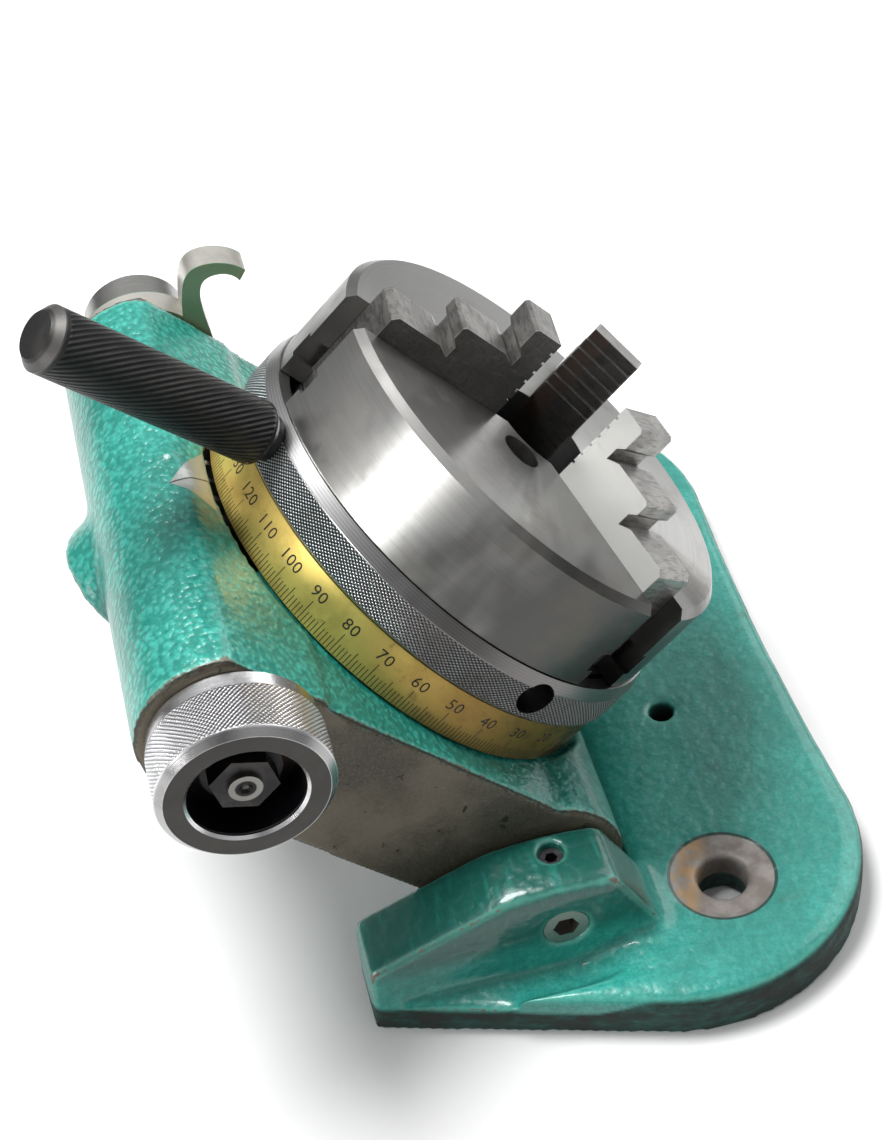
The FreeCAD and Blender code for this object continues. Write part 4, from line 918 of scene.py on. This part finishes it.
# painted shade: the spindle, seen only down the bore, is given a near-black tone
spindle_shade_steel = turned_steel("spindle steel dark as shade", CENTRE, HEAD, (0.10, 0.10, 0.10), 0.3)
collar_steel = turned_steel("turned collar steel", WORM_SPOT, WORM_AXES, stain=0.5)
shaft_steel = shaft_metal("turned shaft steel")
iron = plain_metal("machined iron", (0.34, 0.34, 0.33), (0.12, 0.09, 0.06), 0.42)
screw_steel = plain_metal("worn screw steel", (0.36, 0.33, 0.31), (0.16, 0.10, 0.07), 0.36)
bronze = plain_metal("bush bronze", (0.52, 0.36, 0.17), (0.22, 0.13, 0.06), 0.36)
screw_black = plain_metal("dark screws", (0.10, 0.10, 0.105), (0.05, 0.04, 0.03), 0.38)
screw_rust = plain_metal("rusty screws", (0.20, 0.17, 0.14), (0.32, 0.13, 0.05), 0.34)
ink = plain_metal("dial ink", (0.014, 0.012, 0.010), (0.060, 0.040, 0.018), 0.6, 0.0)

base_skin = casting("base_skin", "base_casting", base_green("brushed green paint"), "base",
                    20, base_machined)
write_flanks(base_skin)
casting("head_skin", "housing", head_green("hammered green paint"), "head",
        6, head_machined, pad_filled)
for node in ("pivot_lock_screws", "rear_cover_screws", "wheel_key", "spindle_nut",
             "lever_grub_screw"):
    dressed(node, screw_black)
for node in ("front_pivot_screw", "rear_pivot_screw"):
    dressed(node, screw_steel)
for node in ("pivot_bushes", "front_spindle_bush", "rear_spindle_bush", "worm_bush",
             "worm_wheel"):
    dressed(node, bronze)
dressed("chuck_screws", screw_rust)
dressed("rear_cover", iron)
dressed("spindle", spindle_shade_steel)
dressed("dial_ring", dial_brass("dial brass"))
dressed("chuck_body", chuck_steel)
dressed("scroll_ring", ring_knurl("knurled ring steel", -13.4, -3.9, 64.25))
dressed("ring_handle", handle_black("blackened bar"))
# painted shade on each jaw's side, darker on the first jaw than the second; the third's side is
# painted lit
dressed("jaw_1", jaw_steel("jaw steel 1", 7.0))
dressed("jaw_2", jaw_steel("jaw steel 2", 127.0, (0.120, 0.112, 0.100)))
dressed("jaw_3", jaw_steel("jaw steel 3", 247.0, near=1.0))
dressed("worm_shaft", shaft_steel)
dressed("worm_knob", knob_metal("knurled knob steel", -90.0, -76.9, 21.1))
dressed("knob_washer", black)
dressed("knob_nut", black)
dressed("release_sleeve", collar_steel)
dressed("release_lever", lever_finish("worn lever plate"))
dressed("shaft_collar", collar_steel)
dial_marks(ink)
dial_figures(ink)


# ------------------------------------------------------------------ floor, light and camera

SKY_LOW, SKY_HIGH = 0.13, 0.62
AIM = (-0.03, 0.0, 0.08)
PHOTO_TALL = 1140           # the photograph's height in pixels
FOCAL = 2200                # its focal length in pixels, from the fit of the round edges
SENSOR = 36


def floor():
    """A pale floor. It throws only a little light back up at the object's walls; seen
    directly or in metal it is its own pale colour."""
    size = 3.0
    mesh = bpy.data.meshes.new("floor")
    mesh.from_pydata([(-size, -size, 0), (size, -size, 0), (size, size, 0), (-size, size, 0)],
                     [], [(0, 1, 2, 3)])
    piece = bpy.data.objects.new("floor", mesh)
    bpy.context.scene.collection.objects.link(piece)
    piece.location.z = -0.0002
    p = Paint("pale floor")
    grain = p.noise(p.place(), 0.02, 2.0)
    seen = p.node("ShaderNodeLightPath", output="Is Camera Ray")
    for ray in ("Is Glossy Ray", "Is Transmission Ray"):
        seen = seen.math("MAXIMUM", p.node("ShaderNodeLightPath", output=ray))
    pale = p.mix(grain * 0.1, (0.86, 0.86, 0.86), (0.82, 0.82, 0.82))
    p.finish(Base_Color=p.mix(seen, (0.22, 0.22, 0.22), pale), Roughness=0.9)
    mesh.materials.append(p.material)


def lamp(name, spot, size, power):
    """A soft round lamp turned towards the object."""
    data = bpy.data.lights.new(name, "AREA")
    data.shape, data.size, data.energy = "DISK", size, power
    item = bpy.data.objects.new(name, data)
    bpy.context.scene.collection.objects.link(item)
    item.location = spot
    item.rotation_mode = "QUATERNION"
    item.rotation_quaternion = (Vector(AIM) - Vector(spot)).to_track_quat("-Z", "Y")


def world():
    """A soft studio sky: brightest overhead, dimmer towards the horizon, with slow changes
    round it, so that metal shows light and dark bands."""
    scene = bpy.context.scene
    scene.world = bpy.data.worlds.new("studio")
    scene.world.use_nodes = True
    tree = scene.world.node_tree
    way = tree.nodes.new("ShaderNodeTexCoord").outputs["Generated"]
    split = tree.nodes.new("ShaderNodeSeparateXYZ")
    tree.links.new(way, split.inputs[0])
    rise = tree.nodes.new("ShaderNodeMapRange")
    rise.inputs["From Min"].default_value = -0.1
    rise.inputs["From Max"].default_value = 0.9
    rise.inputs["To Min"].default_value = SKY_LOW
    rise.inputs["To Max"].default_value = SKY_HIGH
    tree.links.new(split.outputs[2], rise.inputs["Value"])
    slow = tree.nodes.new("ShaderNodeTexNoise")
    slow.inputs["Scale"].default_value = 1.6
    slow.inputs["Detail"].default_value = 1.0
    tree.links.new(way, slow.inputs["Vector"])
    sway = tree.nodes.new("ShaderNodeMapRange")
    sway.inputs["From Min"].default_value = 0.40
    sway.inputs["From Max"].default_value = 0.60
    sway.inputs["To Min"].default_value = 0.35
    sway.inputs["To Max"].default_value = 1.35
    tree.links.new(slow.outputs[0], sway.inputs["Value"])
    both = tree.nodes.new("ShaderNodeMath")
    both.operation = "MULTIPLY"
    tree.links.new(rise.outputs[0], both.inputs[0])
    tree.links.new(sway.outputs[0], both.inputs[1])
    tree.nodes["Background"].inputs["Color"].default_value = (1, 1, 1, 1)
    tree.links.new(both.outputs[0], tree.nodes["Background"].inputs["Strength"])


def camera():
    """The photograph's own viewpoint: a long lens from the knob's side, above the base."""
    right = Vector((0.96854, -0.23658, -0.07717))
    down = Vector((-0.2186, -0.66066, -0.71815))
    ahead = Vector((0.11891, 0.71243, -0.6916))
    data = bpy.data.cameras.new("camera")
    data.sensor_fit = "VERTICAL"
    data.sensor_height = SENSOR
    data.sensor_width = SENSOR
    data.lens = FOCAL * SENSOR / PHOTO_TALL
    item = bpy.data.objects.new("camera", data)
    bpy.context.scene.collection.objects.link(item)
    turn = Matrix((right, -down, -ahead)).transposed()
    item.matrix_world = Matrix.Translation((-0.12028, -0.42067, 0.47389)) @ turn.to_4x4()
    bpy.context.scene.camera = item


floor()
world()
lamp("key", (-0.35, 0.25, 1.20), 0.55, 17)
lamp("side", (0.85, 0.45, 0.85), 1.1, 6)
lamp("front", (-1.25, -0.50, 0.50), 0.55, 6)
camera()
bpy.context.scene.view_settings.view_transform = "Standard"
